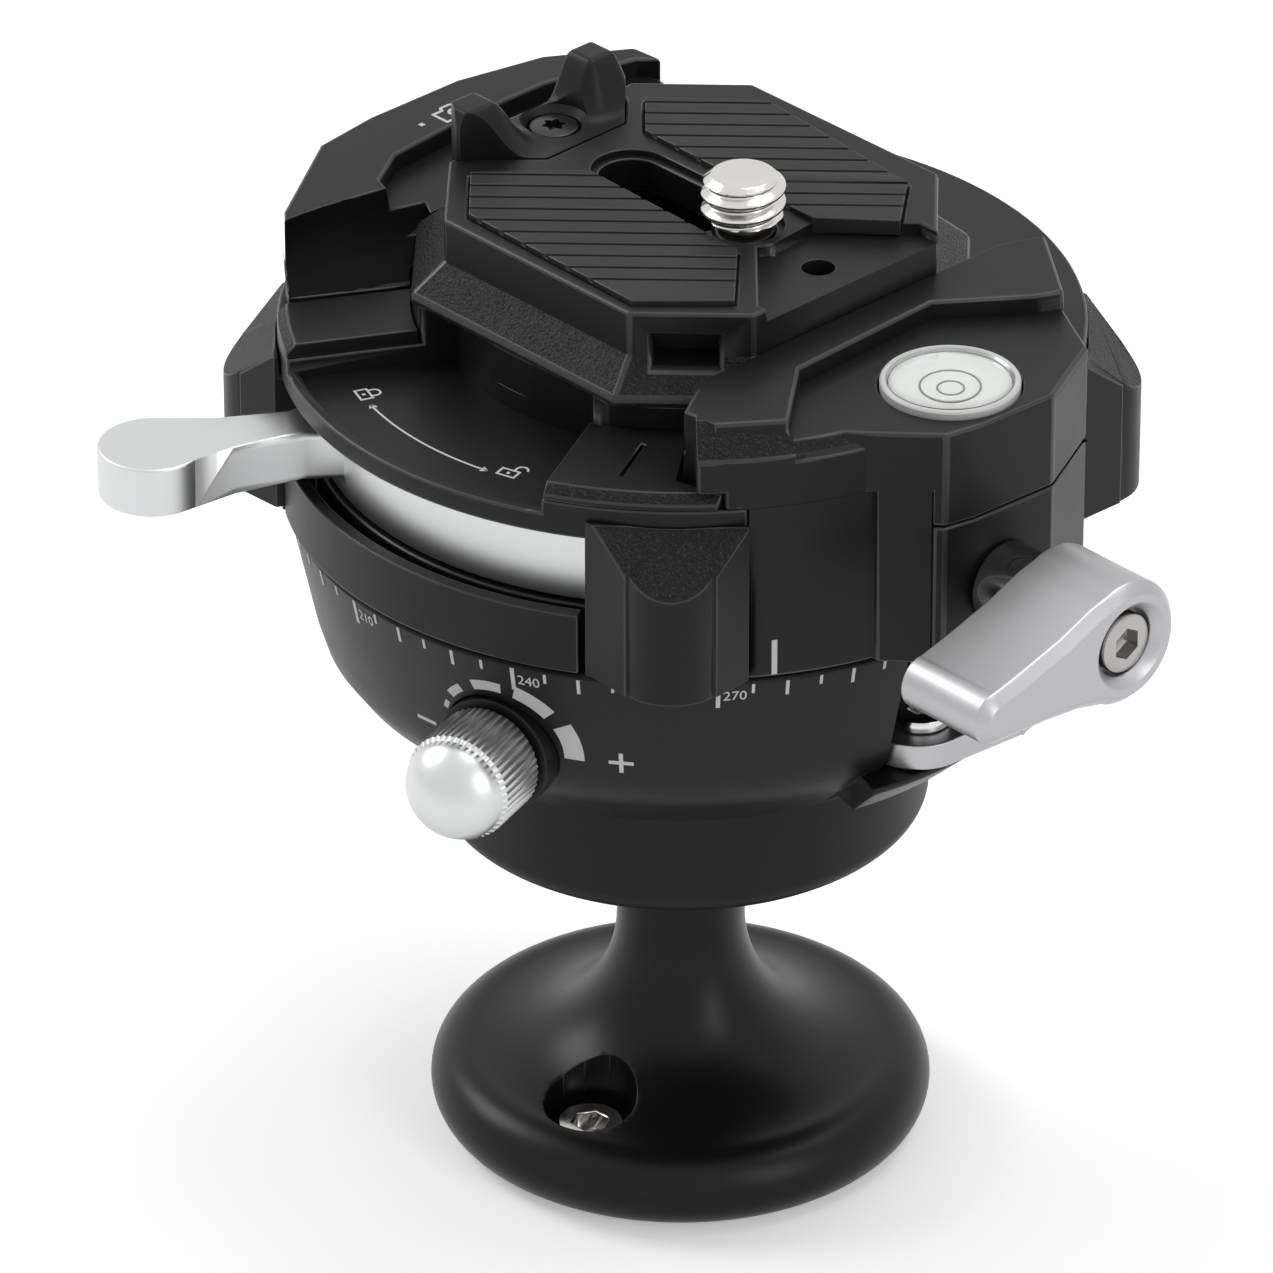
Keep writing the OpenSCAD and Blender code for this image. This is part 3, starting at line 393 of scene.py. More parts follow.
# The lobes' round columns: where they stand, how far they are widened, and the soft run into the flanks
columnSetup = {
    "from": 32.7, "to": 34.5, "half": 3.1, "spread": [(0, 0), (2.42, 3.1), (2.9, 3.35), (3.2, 3.4)],
    "proudFrom": 2.3, "proud": 0.05, "sunkFrom": 2.6, "sunk": 0.15,
}


def widerColumns(work):
    setup = columnSetup
    for vert in work.verts:
        spot = vert.co / mm
        around = math.atan2(spot.y, spot.x)
        lobeTurn = math.radians(90 * round(math.degrees(around) / 90 - 0.5) + 45)
        reach = spot.xy.length
        outward = reach * math.cos(around - lobeTurn)
        aside = reach * math.sin(around - lobeTurn)
        if outward < setup["from"] or abs(aside) > setup["half"]:
            continue
        wider = math.copysign(ramp(setup["spread"], abs(aside)), aside)
        if abs(aside) > setup["sunkFrom"]:
            outward -= setup["sunk"]
        elif abs(aside) > setup["proudFrom"]:
            outward += setup["proud"]
        outward = min(outward, setup["to"])
        vert.co.x = (outward * math.cos(lobeTurn) - wider * math.sin(lobeTurn)) * mm
        vert.co.y = (outward * math.sin(lobeTurn) + wider * math.cos(lobeTurn)) * mm


# Which faces get a piece's second finish: heights and reaches in millimetres, slope is the normal's rise
faceSetup = {
    "lobeReach": 29, "lobeSlope": (0.55, 0.85), "plateTop": 76.9, "plateSlope": 0.9,
    "jawFoot": 74.2, "jawReach": 24, "jawSlope": (0.02, 0.97),
    "sweepFront": -8.5, "sweepFoot": 71.1, "sweepTop": 76.6, "sweepSlope": (0.004, 0.985),
    "guideSlope": (0.2, 0.95),
}


def between(value, limits):
    return limits[0] < value < limits[1]


def roughLobe(place, facing):
    return between(facing.z, faceSetup["lobeSlope"]) and place.xy.length > faceSetup["lobeReach"]


def roughPlate(place, facing):
    return place.z < faceSetup["plateTop"] and facing.z < faceSetup["plateSlope"]


def roughJaw(place, facing):
    if place.z < faceSetup["jawFoot"] or place.xy.length < faceSetup["jawReach"]:
        return False
    return between(facing.z, faceSetup["jawSlope"])


# The concave front that sweeps down to the guide plate, which gets the darker finish as painted shade
def sweptFront(place, facing):
    level = between(place.z, (faceSetup["sweepFoot"], faceSetup["sweepTop"]))
    flattest, steepest = faceSetup["sweepSlope"]
    return level and place.y < faceSetup["sweepFront"] and abs(facing.z) > flattest and facing.z < steepest


def roughGuide(place, facing):
    return between(facing.z, faceSetup["guideSlope"])


# Which edges get a wide chamfer before the fine rounding
chamferSetup = {"guideHeight": 71.3, "guideReach": 30.2, "leverFrom": 47.3}


def middleOf(edge):
    return (edge.verts[0].co + edge.verts[1].co) / 2 / mm


def guideRim(edge):
    middle = middleOf(edge)
    return middle.z > chamferSetup["guideHeight"] and middle.xy.length > chamferSetup["guideReach"]


def leverFace(edge):
    return all(vert.co.x / mm > chamferSetup["leverFrom"] for vert in edge.verts)


# How much of a piece's rounding an edge gets
shareSetup = {"thumbReach": 28.6, "ringShare": 0.25, "flankTop": 78, "plateShare": 0.35}


def thumbShare(edge):
    return 1 if middleOf(edge).xy.length > shareSetup["thumbReach"] else shareSetup["ringShare"]


def flankShare(edge):
    return 1 if middleOf(edge).z < shareSetup["flankTop"] else shareSetup["plateShare"]


# Roundings and chamfers in millimetres
edgeSetup = {
    "foot": {"round": 0.25, "finish": footBlack},
    "retaining_bowl": {"round": 0.2, "finish": darkSatin},
    "ball_housing": {"round": 0.2},
    "pan_body": {"round": 0.22, "edge": paintedEdgeHighlightBlack, "reshape": widerColumns, "marked": roughLobe},
    "window_skirt": {"round": 0.15, "edge": paintedEdgeHighlightBlack},
    "cam_ring": {"round": 0.6, "steps": 3, "finish": brightSilver, "share": thumbShare},
    "clamp_disc": {"round": 0.22, "edge": paintedEdgeHighlightBlack},
    "left_guide_plate": {"round": 0.12, "edge": paintedEdgeHighlightBlack, "marked": roughGuide,
                         "chamfered": guideRim, "chamfer": 0.75},
    "front_guide_plate": {"round": 0.12, "edge": paintedEdgeHighlightBlack, "marked": roughGuide,
                          "chamfered": guideRim, "chamfer": 0.75},
    "fixed_jaw": {"round": 0.3, "edge": paintedEdgeHighlightBlack, "marked": roughJaw, "split": faceSetup["jawFoot"]},
    # The jaw's concave front takes the painted shade finish
    "moving_jaw": {"round": 0.3, "edge": paintedEdgeHighlightBlack, "marked": sweptFront, "second": recessPaintedShade},
    "release_plate": {"round": 0.75, "edge": paintedEdgeHighlightBlack, "steps": 3, "share": flankShare,
                      "marked": roughPlate},
    "left_pad": {"round": 0.1, "edge": paintedEdgeHighlightBlack},
    "right_pad": {"round": 0.1, "edge": paintedEdgeHighlightBlack},
    "pan_lock_lever": {"round": 0.18, "chamfered": leverFace, "chamfer": 0.8},
    "pan_lock_shaft": {"round": 0.25, "finish": collarSteel},
    "ball_lock_lever": {"round": 0.35, "steps": 3},
    "friction_bush": {"round": 0.15},
    "anti_twist_screw": {"round": 0.2},
    "ball_lock_shaft": {"round": 0.1},
}

# How the solids' edges are read: angles in degrees, lengths in millimetres, shares of what lies beside
roomSetup = {
    "sharpFrom": 28, "faceShare": 0.9, "edgeShare": 0.42, "straightFrom": 150, "least": 0.02,
    "merge": 0.004, "flat": 0.5,
}


def isSharp(edge):
    return len(edge.link_faces) == 2 and edge.calc_face_angle() > math.radians(roomSetup["sharpFrom"])


# How wide a rounding the faces and edges beside this edge leave room for
def edgeRoom(edge):
    room = math.inf
    for face in edge.link_faces:
        room = min(room, roomSetup["faceShare"] * face.calc_area() / face.calc_perimeter())
    for vert in edge.verts:
        along = edge.other_vert(vert).co - vert.co
        for other in vert.link_edges:
            if other is not edge:
                way = other.other_vert(vert).co - vert.co
                turn = along.angle(way, math.pi)
                if turn < math.radians(roomSetup["straightFrom"]):
                    room = min(room, roomSetup["edgeShare"] * way.length * math.sin(turn))
    return room


def cutChamfers(work, chosen, width):
    edges = [edge for edge in work.edges if isSharp(edge) and chosen(edge)]
    bmesh.ops.bevel(work, geom=edges, offset=width * mm, offset_type="OFFSET", segments=1,
                    affect="EDGES", clamp_overlap=False, material=-1)


def splitFaces(work, height):
    everything = work.verts[:] + work.edges[:] + work.faces[:]
    bmesh.ops.bisect_plane(work, geom=everything, dist=1e-6, plane_co=(0, 0, height * mm),
                           plane_no=(0, 0, 1))


# The first finish everywhere, and the second where the piece's own rule says so
def markFaces(work, marked):
    for face in work.faces:
        second = marked and marked(face.calc_center_median() / mm, face.normal)
        face.material_index = 1 if second else 0


# Outer edges are rounded as far as there is room, and the other sharp edges stay crisp
def weighEdges(work, setup):
    weights = work.edges.layers.float.new("bevel_weight_edge")
    full = setup["round"] * mm
    share = setup.get("share")
    work.normal_update()
    for edge in work.edges:
        edge.smooth = not isSharp(edge)
        if isSharp(edge) and edge.is_convex:
            wanted = full * (share(edge) if share else 1)
            width = min(wanted, edgeRoom(edge))
            if width > roomSetup["least"] * mm:
                edge[weights] = width / full
                edge.smooth = True


def roundedCopy(nodeName, setup):
    source = frame["nodes"][nodeName]
    plain = setup.get("finish", slotFinish[source.material_slots[0].material.name])
    mesh = bpy.data.meshes.new(nodeName + "Rounded")
    for material in (plain, setup.get("second", roughCast), setup.get("edge", plain)):
        mesh.materials.append(material)
    work = bmesh.new()
    work.from_mesh(source.data)
    bmesh.ops.remove_doubles(work, verts=work.verts, dist=roomSetup["merge"] * mm)
    bmesh.ops.dissolve_limit(work, angle_limit=math.radians(roomSetup["flat"]), verts=work.verts,
                             edges=work.edges)
    if "chamfer" in setup:
        cutChamfers(work, setup["chamfered"], setup["chamfer"])
    if "split" in setup:
        splitFaces(work, setup["split"])
    if "reshape" in setup:
        setup["reshape"](work)
    markFaces(work, setup.get("marked"))
    weighEdges(work, setup)
    work.to_mesh(mesh)
    work.free()
    smoothFaces(mesh)
    piece = bpy.data.objects.new(nodeName + "Work", mesh)
    scene.collection.objects.link(piece)
    bevel = piece.modifiers.new("edges", "BEVEL")
    bevel.width = setup["round"] * mm
    bevel.segments = setup.get("steps", 2)
    bevel.limit_method = "WEIGHT"
    bevel.use_clamp_overlap = False
    # The rounded edges take the third finish, on black pieces a lighter painted edge highlight
    bevel.material = 2
    normals = piece.modifiers.new("even shading", "WEIGHTED_NORMAL")
    normals.keep_sharp = True
    normals.weight = 80
    return bakedMesh(piece, nodeName + "Mesh")


for nodeName, setup in edgeSetup.items():
    mesh = roundedCopy(nodeName, setup)
    linkPiece(nodeName + "_rounded", mesh, nodeName)
print("rounded pieces made:", len(edgeSetup))


# Radii and places along the knob's own axis, from the head's axis outwards
knobSetup = {
    "turn": -72, "height": 46.9, "teeth": 48, "toothDepth": 0.15, "samples": 6,
    "base": 29.6, "boreRadius": 2.1, "boreDepth": 3, "faceRadius": 3.6, "rimRadius": 4.0, "rimRise": 0.15,
    "barrelRadius": 4.25, "barrelRise": 0.4, "barrelEnd": 34.6, "shoulderRadius": 3.95, "shoulderRise": 0.3,
    "domeCentre": 33.9, "domeRadius": 4.2, "domeInset": 0.985, "domeSteps": 12,
}


def buildKnob(setup):
    teeth = setup["teeth"]

    def knurl(turn):
        wave = abs(2 * ((turn * teeth / fullTurn) % 1) - 1)
        return setup["barrelRadius"] - setup["toothDepth"] * (1 - wave)

    base = setup["base"]
    end = setup["barrelEnd"]
    shoulder = setup["shoulderRadius"]
    bore = setup["boreRadius"]
    floor = base + setup["boreDepth"]
    profile = [(0, floor), (bore, floor), (bore, base), (setup["faceRadius"], base),
               (setup["rimRadius"], base + setup["rimRise"]), (knurl, base + setup["barrelRise"]),
               (knurl, end), (shoulder, end + setup["shoulderRise"])]
    dome = setup["domeRadius"]
    start = math.acos(shoulder * setup["domeInset"] / dome)
    steps = setup["domeSteps"]
    for step in range(steps + 1):
        turn = start + (math.pi / 2 - start) * step / steps
        radius = 0 if step == steps else dome * math.cos(turn)
        profile.append((radius, setup["domeCentre"] + dome * math.sin(turn)))
    turnedPiece("friction_knob_knurled", "friction_knob", profile, teeth * setup["samples"],
                outwards(setup["turn"], setup["height"]), brightSilver)


buildKnob(knobSetup)

# The camera screw: flankGain and flankDrop give the thread its flat crests and valleys
cameraScrewSetup = {
    "x": 6.2, "y": 0.3, "low": 80.45, "high": 84.15, "major": 3.175, "depth": 0.62, "pitch": 1.27,
    "flankGain": 1.5, "flankDrop": 0.25, "rows": 62, "sides": 96, "neck": 2.35,
    "startSlope": 1.15, "endSlope": 1.5, "endNeck": 2.45, "tip": 2.0, "tipFlat": 1.85, "dish": 0.05,
    "flange": 5.8, "flangeLow": 73.55, "flangeHigh": 76.05, "flangeEdge": 0.2,
    "socketAcross": 4.6, "socketDepth": 1.6,
}


def buildCameraScrew(setup):
    low = setup["low"]
    high = setup["high"]
    neck = setup["neck"]

    def threadRadius(height):
        def radius(turn):
            phase = ((height - low) / setup["pitch"] - turn / fullTurn) % 1
            flank = min(1, max(0, abs(2 * phase - 1) * setup["flankGain"] - setup["flankDrop"]))
            reach = setup["major"] - setup["depth"] * (1 - flank)
            startChamfer = neck + (high - height) * setup["startSlope"]
            endChamfer = setup["endNeck"] + (height - low) * setup["endSlope"]
            return min(reach, startChamfer, endChamfer)
        return radius

    flange = setup["flange"]
    edge = setup["flangeEdge"]
    under = setup["flangeLow"]
    over = setup["flangeHigh"]
    socket = hexRadius(setup["socketAcross"])
    socketFloor = under + setup["socketDepth"]
    profile = [(0, socketFloor), (socket, socketFloor), (socket, under), (flange - edge, under),
               (flange, under + edge), (flange, over - edge), (flange - edge, over), (neck, over),
               (neck, low)]
    for row in range(1, setup["rows"] + 1):
        height = low + (high - low) * row / setup["rows"]
        profile.append((threadRadius(height), height))
    profile.append((setup["tip"], high))
    profile.append((setup["tipFlat"], high - setup["dish"]))
    profile.append((0, high - setup["dish"]))
    place = Matrix.Translation((setup["x"], setup["y"], 0))
    turnedPiece("camera_screw_threaded", "camera_screw", profile, setup["sides"], place, steel, sharp=50)


buildCameraScrew(cameraScrewSetup)

earsScrewPlace = Matrix.Translation((-15, 0.9, 0))
earsScrewSeat = 79.05

# Lengths run along each screw's own axis, from its seat
screwSetup = {
    "pan_lever_screw": {
        "ending": "_hex", "axis": outwards(0, 61.25), "seat": 45.4, "finish": screwSteel,
        "headRadius": 2.35, "headHeight": 1.5, "socket": hexRadius(2.6), "socketDepth": 1.1,
        "shankRadius": 1.4, "shankLength": 8,
    },
    "ball_lever_screw": {
        "ending": "_hex", "axis": Matrix.Translation((25.8, 0, 0)), "seat": 45.95, "finish": steel,
        "headRadius": 2.3, "headHeight": 0.9, "socket": hexRadius(2.1), "socketDepth": 0.6,
        "shankRadius": 1, "shankLength": 4.1,
    },
    "ears_screw": {
        "ending": "_star", "axis": earsScrewPlace, "seat": earsScrewSeat, "finish": darkSteel,
        "headRadius": 1.9, "headHeight": 0.9, "socket": starRadius(0.78, 0.2), "socketDepth": 0.6,
        "shankRadius": 1.2, "shankLength": 2.3,
    },
}
headRound = [(0, 0.3), (0.08, 0.1), (0.3, 0)]
socketPoint = 0.2


# A button screw: shank, head with a rounded rim, and a socket with a pointed floor
def buildScrew(nodeName, setup):
    seat = setup["seat"]
    head = setup["headRadius"]
    shank = setup["shankRadius"]
    socket = setup["socket"]
    top = seat + setup["headHeight"]
    tip = seat - setup["shankLength"]
    floor = top - setup["socketDepth"]
    profile = [(0, tip), (shank, tip), (shank, seat), (head, seat)]
    for inset, drop in headRound:
        profile.append((head - inset, top - drop))
    profile += [(socket, top), (socket, floor), (0, floor - socketPoint)]
    turnedPiece(nodeName + setup["ending"], nodeName, profile, 72, setup["axis"], setup["finish"])


for nodeName, setup in screwSetup.items():
    buildScrew(nodeName, setup)
print("knob and screws made")


def smooth(share):
    share = min(1, max(0, share))
    return share * share * (3 - 2 * share)


# The back and front outlines are (y, x) pairs; the seat is the screw's countersunk hole
earsSetup = {
    "foot": 78.15, "deck": 79.95, "saddle": 80.4, "horn": 83.95, "rows": 90, "columns": 40,
    "leftEdge": -8.2, "leftTop": (-7.7, -5.3), "leftFoot": -1.2, "leftCurve": 1.6,
    "rightEdge": 7.65, "rightTop": (5.0, 6.9), "rightFoot": 2.2, "rightCurve": 1.4,
    "outerFall": 0.35, "back": -17.6, "backRound": 0.5, "backCrown": 0.25,
    "slopeFrom": -15.3, "slopeTo": -12.0, "slopeCurve": 1.5, "edgeRound": 0.22,
    "backOutline": [(-8.2, -15.9), (-7.2, -17.6), (7.4, -17.6), (7.66, -15.9)],
    "frontOutline": [(-8.2, -15.5), (-6.4, -14.4), (-3.2, -11.4), (5, -11.6), (7.66, -14.3)],
    "seat": [(0, 77), (1.5, 77), (1.5, earsScrewSeat), (2.1, earsScrewSeat), (2.1, 79.8), (2.6, 80.35),
             (2.6, 90), (0, 90)],
}


# Height along the ears' length: a horn, the saddle and a second horn
def hornHeight(setup, y):
    saddle = setup["saddle"]
    rise = setup["horn"] - saddle
    leftOuter, leftInner = setup["leftTop"]
    rightInner, rightOuter = setup["rightTop"]
    if y < leftOuter:
        share = (leftOuter - y) / (leftOuter - setup["leftEdge"])
        return saddle + rise * (1 - setup["outerFall"] * share ** 2)
    if y < leftInner:
        return setup["horn"]
    if y < setup["leftFoot"]:
        share = (y - leftInner) / (setup["leftFoot"] - leftInner)
        return saddle + rise * (1 - smooth(share)) ** setup["leftCurve"]
    if y < setup["rightFoot"]:
        return saddle
    if y < rightInner:
        share = (rightInner - y) / (rightInner - setup["rightFoot"])
        return saddle + rise * (1 - smooth(share)) ** setup["rightCurve"]
    if y < rightOuter:
        return setup["horn"]
    share = (y - rightOuter) / (setup["rightEdge"] - rightOuter)
    return saddle + rise * (1 - setup["outerFall"] * share ** 2)


def earsTop(setup, x, y):
    share = (x - setup["slopeFrom"]) / (setup["slopeTo"] - setup["slopeFrom"])
    fall = (1 - smooth(share)) ** setup["slopeCurve"] if share > 0 else 1
    inwards = min(1, max(0, (x - setup["back"]) / setup["backRound"]))
    crown = setup["backCrown"] * (1 - math.sqrt(max(0, 1 - (1 - inwards) ** 2)))
    return setup["deck"] + (hornHeight(setup, y) - setup["deck"]) * fall - crown


# A block whose upper face follows the heights, as one closed grid
def earsBlank(setup):
    work = bmesh.new()
    rows = setup["rows"]
    columns = setup["columns"]
    upper = []
    lower = []
    for row in range(rows + 1):
        y = setup["leftEdge"] + (setup["rightEdge"] - setup["leftEdge"]) * row / rows
        start = ramp(setup["backOutline"], y)
        end = ramp(setup["frontOutline"], y)
        across = [start + (end - start) * column / columns for column in range(columns + 1)]
        upper.append([work.verts.new((x, y, earsTop(setup, x, y))) for x in across])
        lower.append([work.verts.new((x, y, setup["foot"])) for x in across])
    for row in range(rows):
        for column in range(columns):
            for sheet in (upper, lower):
                work.faces.new((sheet[row][column], sheet[row][column + 1],
                                sheet[row + 1][column + 1], sheet[row + 1][column]))
        for column in (0, columns):
            work.faces.new((upper[row][column], upper[row + 1][column],
                            lower[row + 1][column], lower[row][column]))
    for row in (0, rows):
        for column in range(columns):
            work.faces.new((upper[row][column], upper[row][column + 1],
                            lower[row][column + 1], lower[row][column]))
    return meshFrom(work, "earsBlankMesh", [satinBlack])


def buildEars(setup):
    seat = bmesh.new()
    lathe(seat, setup["seat"], 64, earsScrewPlace)
    cutter = bpy.data.objects.new("earsCutter", meshFrom(seat, "earsCutterMesh", [satinBlack]))
    scene.collection.objects.link(cutter)
    blank = bpy.data.objects.new("earsBlank", earsBlank(setup))
    scene.collection.objects.link(blank)
    cut = blank.modifiers.new("screw seat", "BOOLEAN")
    cut.operation = "DIFFERENCE"
    cut.object = cutter
    cut.solver = "EXACT"
    bevel = blank.modifiers.new("edges", "BEVEL")
    bevel.width = setup["edgeRound"] * mm
    bevel.segments = 3
    bevel.limit_method = "ANGLE"
    bevel.angle_limit = math.radians(40)
    mesh = bakedMesh(blank, "earsMesh")
    bpy.data.objects.remove(cutter)
    mesh.set_sharp_from_angle(angle=math.radians(40))
    smoothFaces(mesh)
    linkPiece("anti_twist_ears_shaped", mesh, "anti_twist_ears")


buildEars(earsSetup)
print("ears shaped")

# Radii and heights in millimetres; the fluid and the lens are measured from the fluid's level
levelSetup = {
    "x": 28.0, "y": 0.4, "base": 72.45, "platform": 75.05, "stands": 0.55, "rim": 5.2, "band": 4.6,
    "bandFrom": 4.74, "bandDrop": 0.25, "floor": 0.9, "fluidFloor": 1.0, "fluidDrop": 0.25, "glass": 4.55,
    "bowl": 2.9, "bank": (0.6, 0.12), "meniscus": 0.4, "lensFrom": 0.42, "lensEdge": 0.45, "lensRise": 0.3,
    "lensSteps": 8, "sides": 96, "ringLine": (2.3, 0.16), "bubbleLine": (1.05, 0.14),
    "bubbleShift": (0.25, -0.2), "lineHalf": 0.04,
}


def buildLevelCup(setup, place):
    top = setup["platform"] + setup["stands"]
    base = setup["base"]
    rim = setup["rim"]
    band = setup["band"]
    floor = base + setup["floor"]
    bandFoot = top - setup["bandDrop"]
    work = bmesh.new()
    lathe(work, [(0, base), (rim - 0.1, base), (rim, base + 0.1), (rim, top - 0.2),
                 (rim - 0.1, top - 0.05), (rim - 0.2, top), (rim - 0.35, top), (rim - 0.45, top - 0.08),
                 (band, bandFoot), (band, floor), (0, floor)], setup["sides"], place)
    for face in work.faces:
        middle = face.calc_center_median()
        reach = (middle.xy - Vector((setup["x"], setup["y"]))).length
        if setup["bandFrom"] > reach > band and middle.z > bandFoot:
            face.material_index = 1
    mesh = meshFrom(work, "levelCupMesh", [levelWhite, levelBand])
    linkPiece("level_cup_turned", mesh, "level_cup")


def buildLevelFluid(setup, place):
    glass = setup["glass"]
    fluid = setup["platform"] - setup["fluidDrop"]
    floor = setup["base"] + setup["fluidFloor"]
    inset, rise = setup["bank"]
    profile = [(0, floor), (glass, floor), (glass, fluid + setup["meniscus"]),
               (glass - inset, fluid + rise), (setup["bowl"], fluid), (0, fluid)]
    turnedPiece("level_fluid", "level_lens", profile, setup["sides"], place, levelFluid,
                replaces=False)
    profile = [(0, fluid + setup["lensFrom"])]
    steps = setup["lensSteps"]
    for step in range(steps + 1):
        turn = math.pi / 2 * step / steps
        radius = 0 if step == steps else glass * math.cos(turn)
        profile.append((radius, fluid + setup["lensEdge"] + setup["lensRise"] * math.sin(turn)))
    turnedPiece("level_lens_domed", "level_lens", profile, setup["sides"], place, levelClear)


# A thin ring just in the fluid's surface: the printed circle or the rim of the bubble
def buildLevelLine(setup, label, line, shift):
    radius, width = line
    fluid = setup["platform"] - setup["fluidDrop"]
    half = setup["lineHalf"]
    inner = radius - width
    place = Matrix.Translation((setup["x"] + shift[0], setup["y"] + shift[1], 0))
    work = bmesh.new()
    lathe(work, [(inner, fluid - half), (radius, fluid - half), (radius, fluid + half),
                 (inner, fluid + half), (inner, fluid - half)], 64, place)
    bmesh.ops.remove_doubles(work, verts=work.verts, dist=0.001)
    mesh = meshFrom(work, "level" + label.title() + "Mesh", [levelLine])
    linkPiece("level_" + label + "_line", mesh, "level_lens", replaces=False)


levelPlace = Matrix.Translation((levelSetup["x"], levelSetup["y"], 0))
buildLevelCup(levelSetup, levelPlace)
buildLevelFluid(levelSetup, levelPlace)
buildLevelLine(levelSetup, "ring", levelSetup["ringLine"], (0, 0))
buildLevelLine(levelSetup, "bubble", levelSetup["bubbleLine"], levelSetup["bubbleShift"])
print("bubble level made")

# Painted marks are thin plates, sunk a little and standing a little proud of their surface
markSetup = {"sunk": -0.06, "proud": 0.025}

# The housing's wall as (height, radius) pairs; the scale stands on its last, straight run
housingOutline = [(38.95, 22.1), (42.25, 25.9), (44.25, 27.3), (46.25, 27.9), (55.15, 29.8)]
(wallFoot, wallFootRadius), (wallTop, wallTopRadius) = housingOutline[-2:]
wallSlope = math.atan2(wallTopRadius - wallFootRadius, wallTop - wallFoot)


# Each of these gives a function that lays a flat drawing, and a lift off the surface, on the part
def onHousing(turn, height):
    def place(u, v, lift):
        level = height + v
        radius = ramp(housingOutline, level) + lift * math.cos(wallSlope)
        around = math.radians(turn) + u / ramp(housingOutline, height)
        return Vector((radius * math.cos(around), radius * math.sin(around),
                       level - lift * math.sin(wallSlope)))
    return place


def onDrum(turn, radius):
    def place(u, v, lift):
        around = math.radians(turn) + u / radius
        return Vector(((radius + lift) * math.cos(around), (radius + lift) * math.sin(around), v))
    return place


# A level face seen from outside, where up on the mark is towards the axis
def onDeck(turn, reach, height):
    def place(u, v, lift):
        around = math.radians(turn)
        outward = Vector((math.cos(around), math.sin(around)))
        aside = Vector((-math.sin(around), math.cos(around)))
        flat = outward * (reach - v) + aside * u
        return Vector((flat.x, flat.y, height + lift))
    return place


# A painted line through flat points, with mitred corners
def stroke(work, points, width, place, closed=False):
    points = [Vector(point) for point in points]
    count = len(points)
    sharpestMitre = 0.35
    rows = []
    for index, point in enumerate(points):
        before = points[index - 1] if index > 0 or closed else point
        after = points[(index + 1) % count] if index < count - 1 or closed else point
        arriving = (point - before).normalized() if (point - before).length > 0 else None
        leaving = (after - point).normalized() if (after - point).length > 0 else None
        arriving = arriving or leaving
        leaving = leaving or arriving
        along = (arriving + leaving).normalized()
        side = Vector((-along.y, along.x))
        square = Vector((-arriving.y, arriving.x))
        reach = width / 2 / max(sharpestMitre, side.dot(square))
        row = []
        for offset, lift in ((-reach, markSetup["sunk"]), (reach, markSetup["sunk"]),
                             (reach, markSetup["proud"]), (-reach, markSetup["proud"])):
            spot = point + side * offset
            row.append(work.verts.new(place(spot.x, spot.y, lift)))
        rows.append(row)
    pairs = list(zip(rows, rows[1:]))
    if closed:
        pairs.append((rows[-1], rows[0]))
    for first, second in pairs:
        for corner in range(4):
            after = (corner + 1) % 4
            work.faces.new((first[corner], first[after], second[after], second[corner]))
    if not closed:
        work.faces.new(rows[0])
        work.faces.new(rows[-1])


def arcPoints(centre, radius, start, end, steps):
    points = []
    for step in range(steps + 1):
        turn = math.radians(start + (end - start) * step / steps)
        points.append((centre[0] + radius * math.cos(turn), centre[1] + radius * math.sin(turn)))
    return points


def linkMarks(name, work, nodeName):
    mesh = meshFrom(work, name + "Mesh", [markWhite])
    linkPiece(name, mesh, nodeName, replaces=False)


# The blocks round the knob are (middle, half) in degrees and the outer radius, growing towards the plus
frictionScale = {
    "turn": knobSetup["turn"], "height": knobSetup["height"], "inner": 4.9, "lineWidth": 0.32,
    "centre": (0.25, 0.5),
    "blocks": [(156, 4.5, 5.3), (134, 8, 5.6), (99, 13, 5.75), (59, 16, 6.1), (14, 16, 6.45)],
    "minus": (-7.8, -5.9), "plus": (9.45, 0.5), "plusHalf": 0.93,
}


def buildFrictionScale(setup):
    work = bmesh.new()
    place = onHousing(setup["turn"], setup["height"])
    inner = setup["inner"]
    for middle, half, outer in setup["blocks"]:
        points = arcPoints(setup["centre"], (inner + outer) / 2, middle - half, middle + half,
                           max(4, int(half)))
        stroke(work, points, outer - inner, place)
    width = setup["lineWidth"]
    left, right = setup["minus"]
    stroke(work, [(left, 0), (right, 0)], width, place)
    x, y = setup["plus"]
    half = setup["plusHalf"]
    stroke(work, [(x - half, y), (x + half, y)], width, place)
    stroke(work, [(x, y + width / 2), (x, y + half)], width, place)
    stroke(work, [(x, y - half), (x, y - width / 2)], width, place)
    linkMarks("friction_scale_marks", work, "ball_housing")


buildFrictionScale(frictionScale)

# Places as (degrees, reach) on the clamp disc's deck; sizes of one padlock in millimetres
lockSetup = {
    "height": 68.55, "line": 0.17, "bodyHalf": 0.72, "bodyHigh": 0.6, "bodyTop": 0.55, "shackle": 0.45,
    "shackleRise": 0.3, "openAside": 0.95, "keyhole": -0.28, "keyholeWidth": 1.4,
    "closed": (-110.7, 25.5), "open": (-73.9, 25.1), "arrow": (-107.0, -77.2), "arrowReach": 25.8,
    "barbFrom": 0.05, "barbAlong": 0.5, "barbAside": 0.28,
}


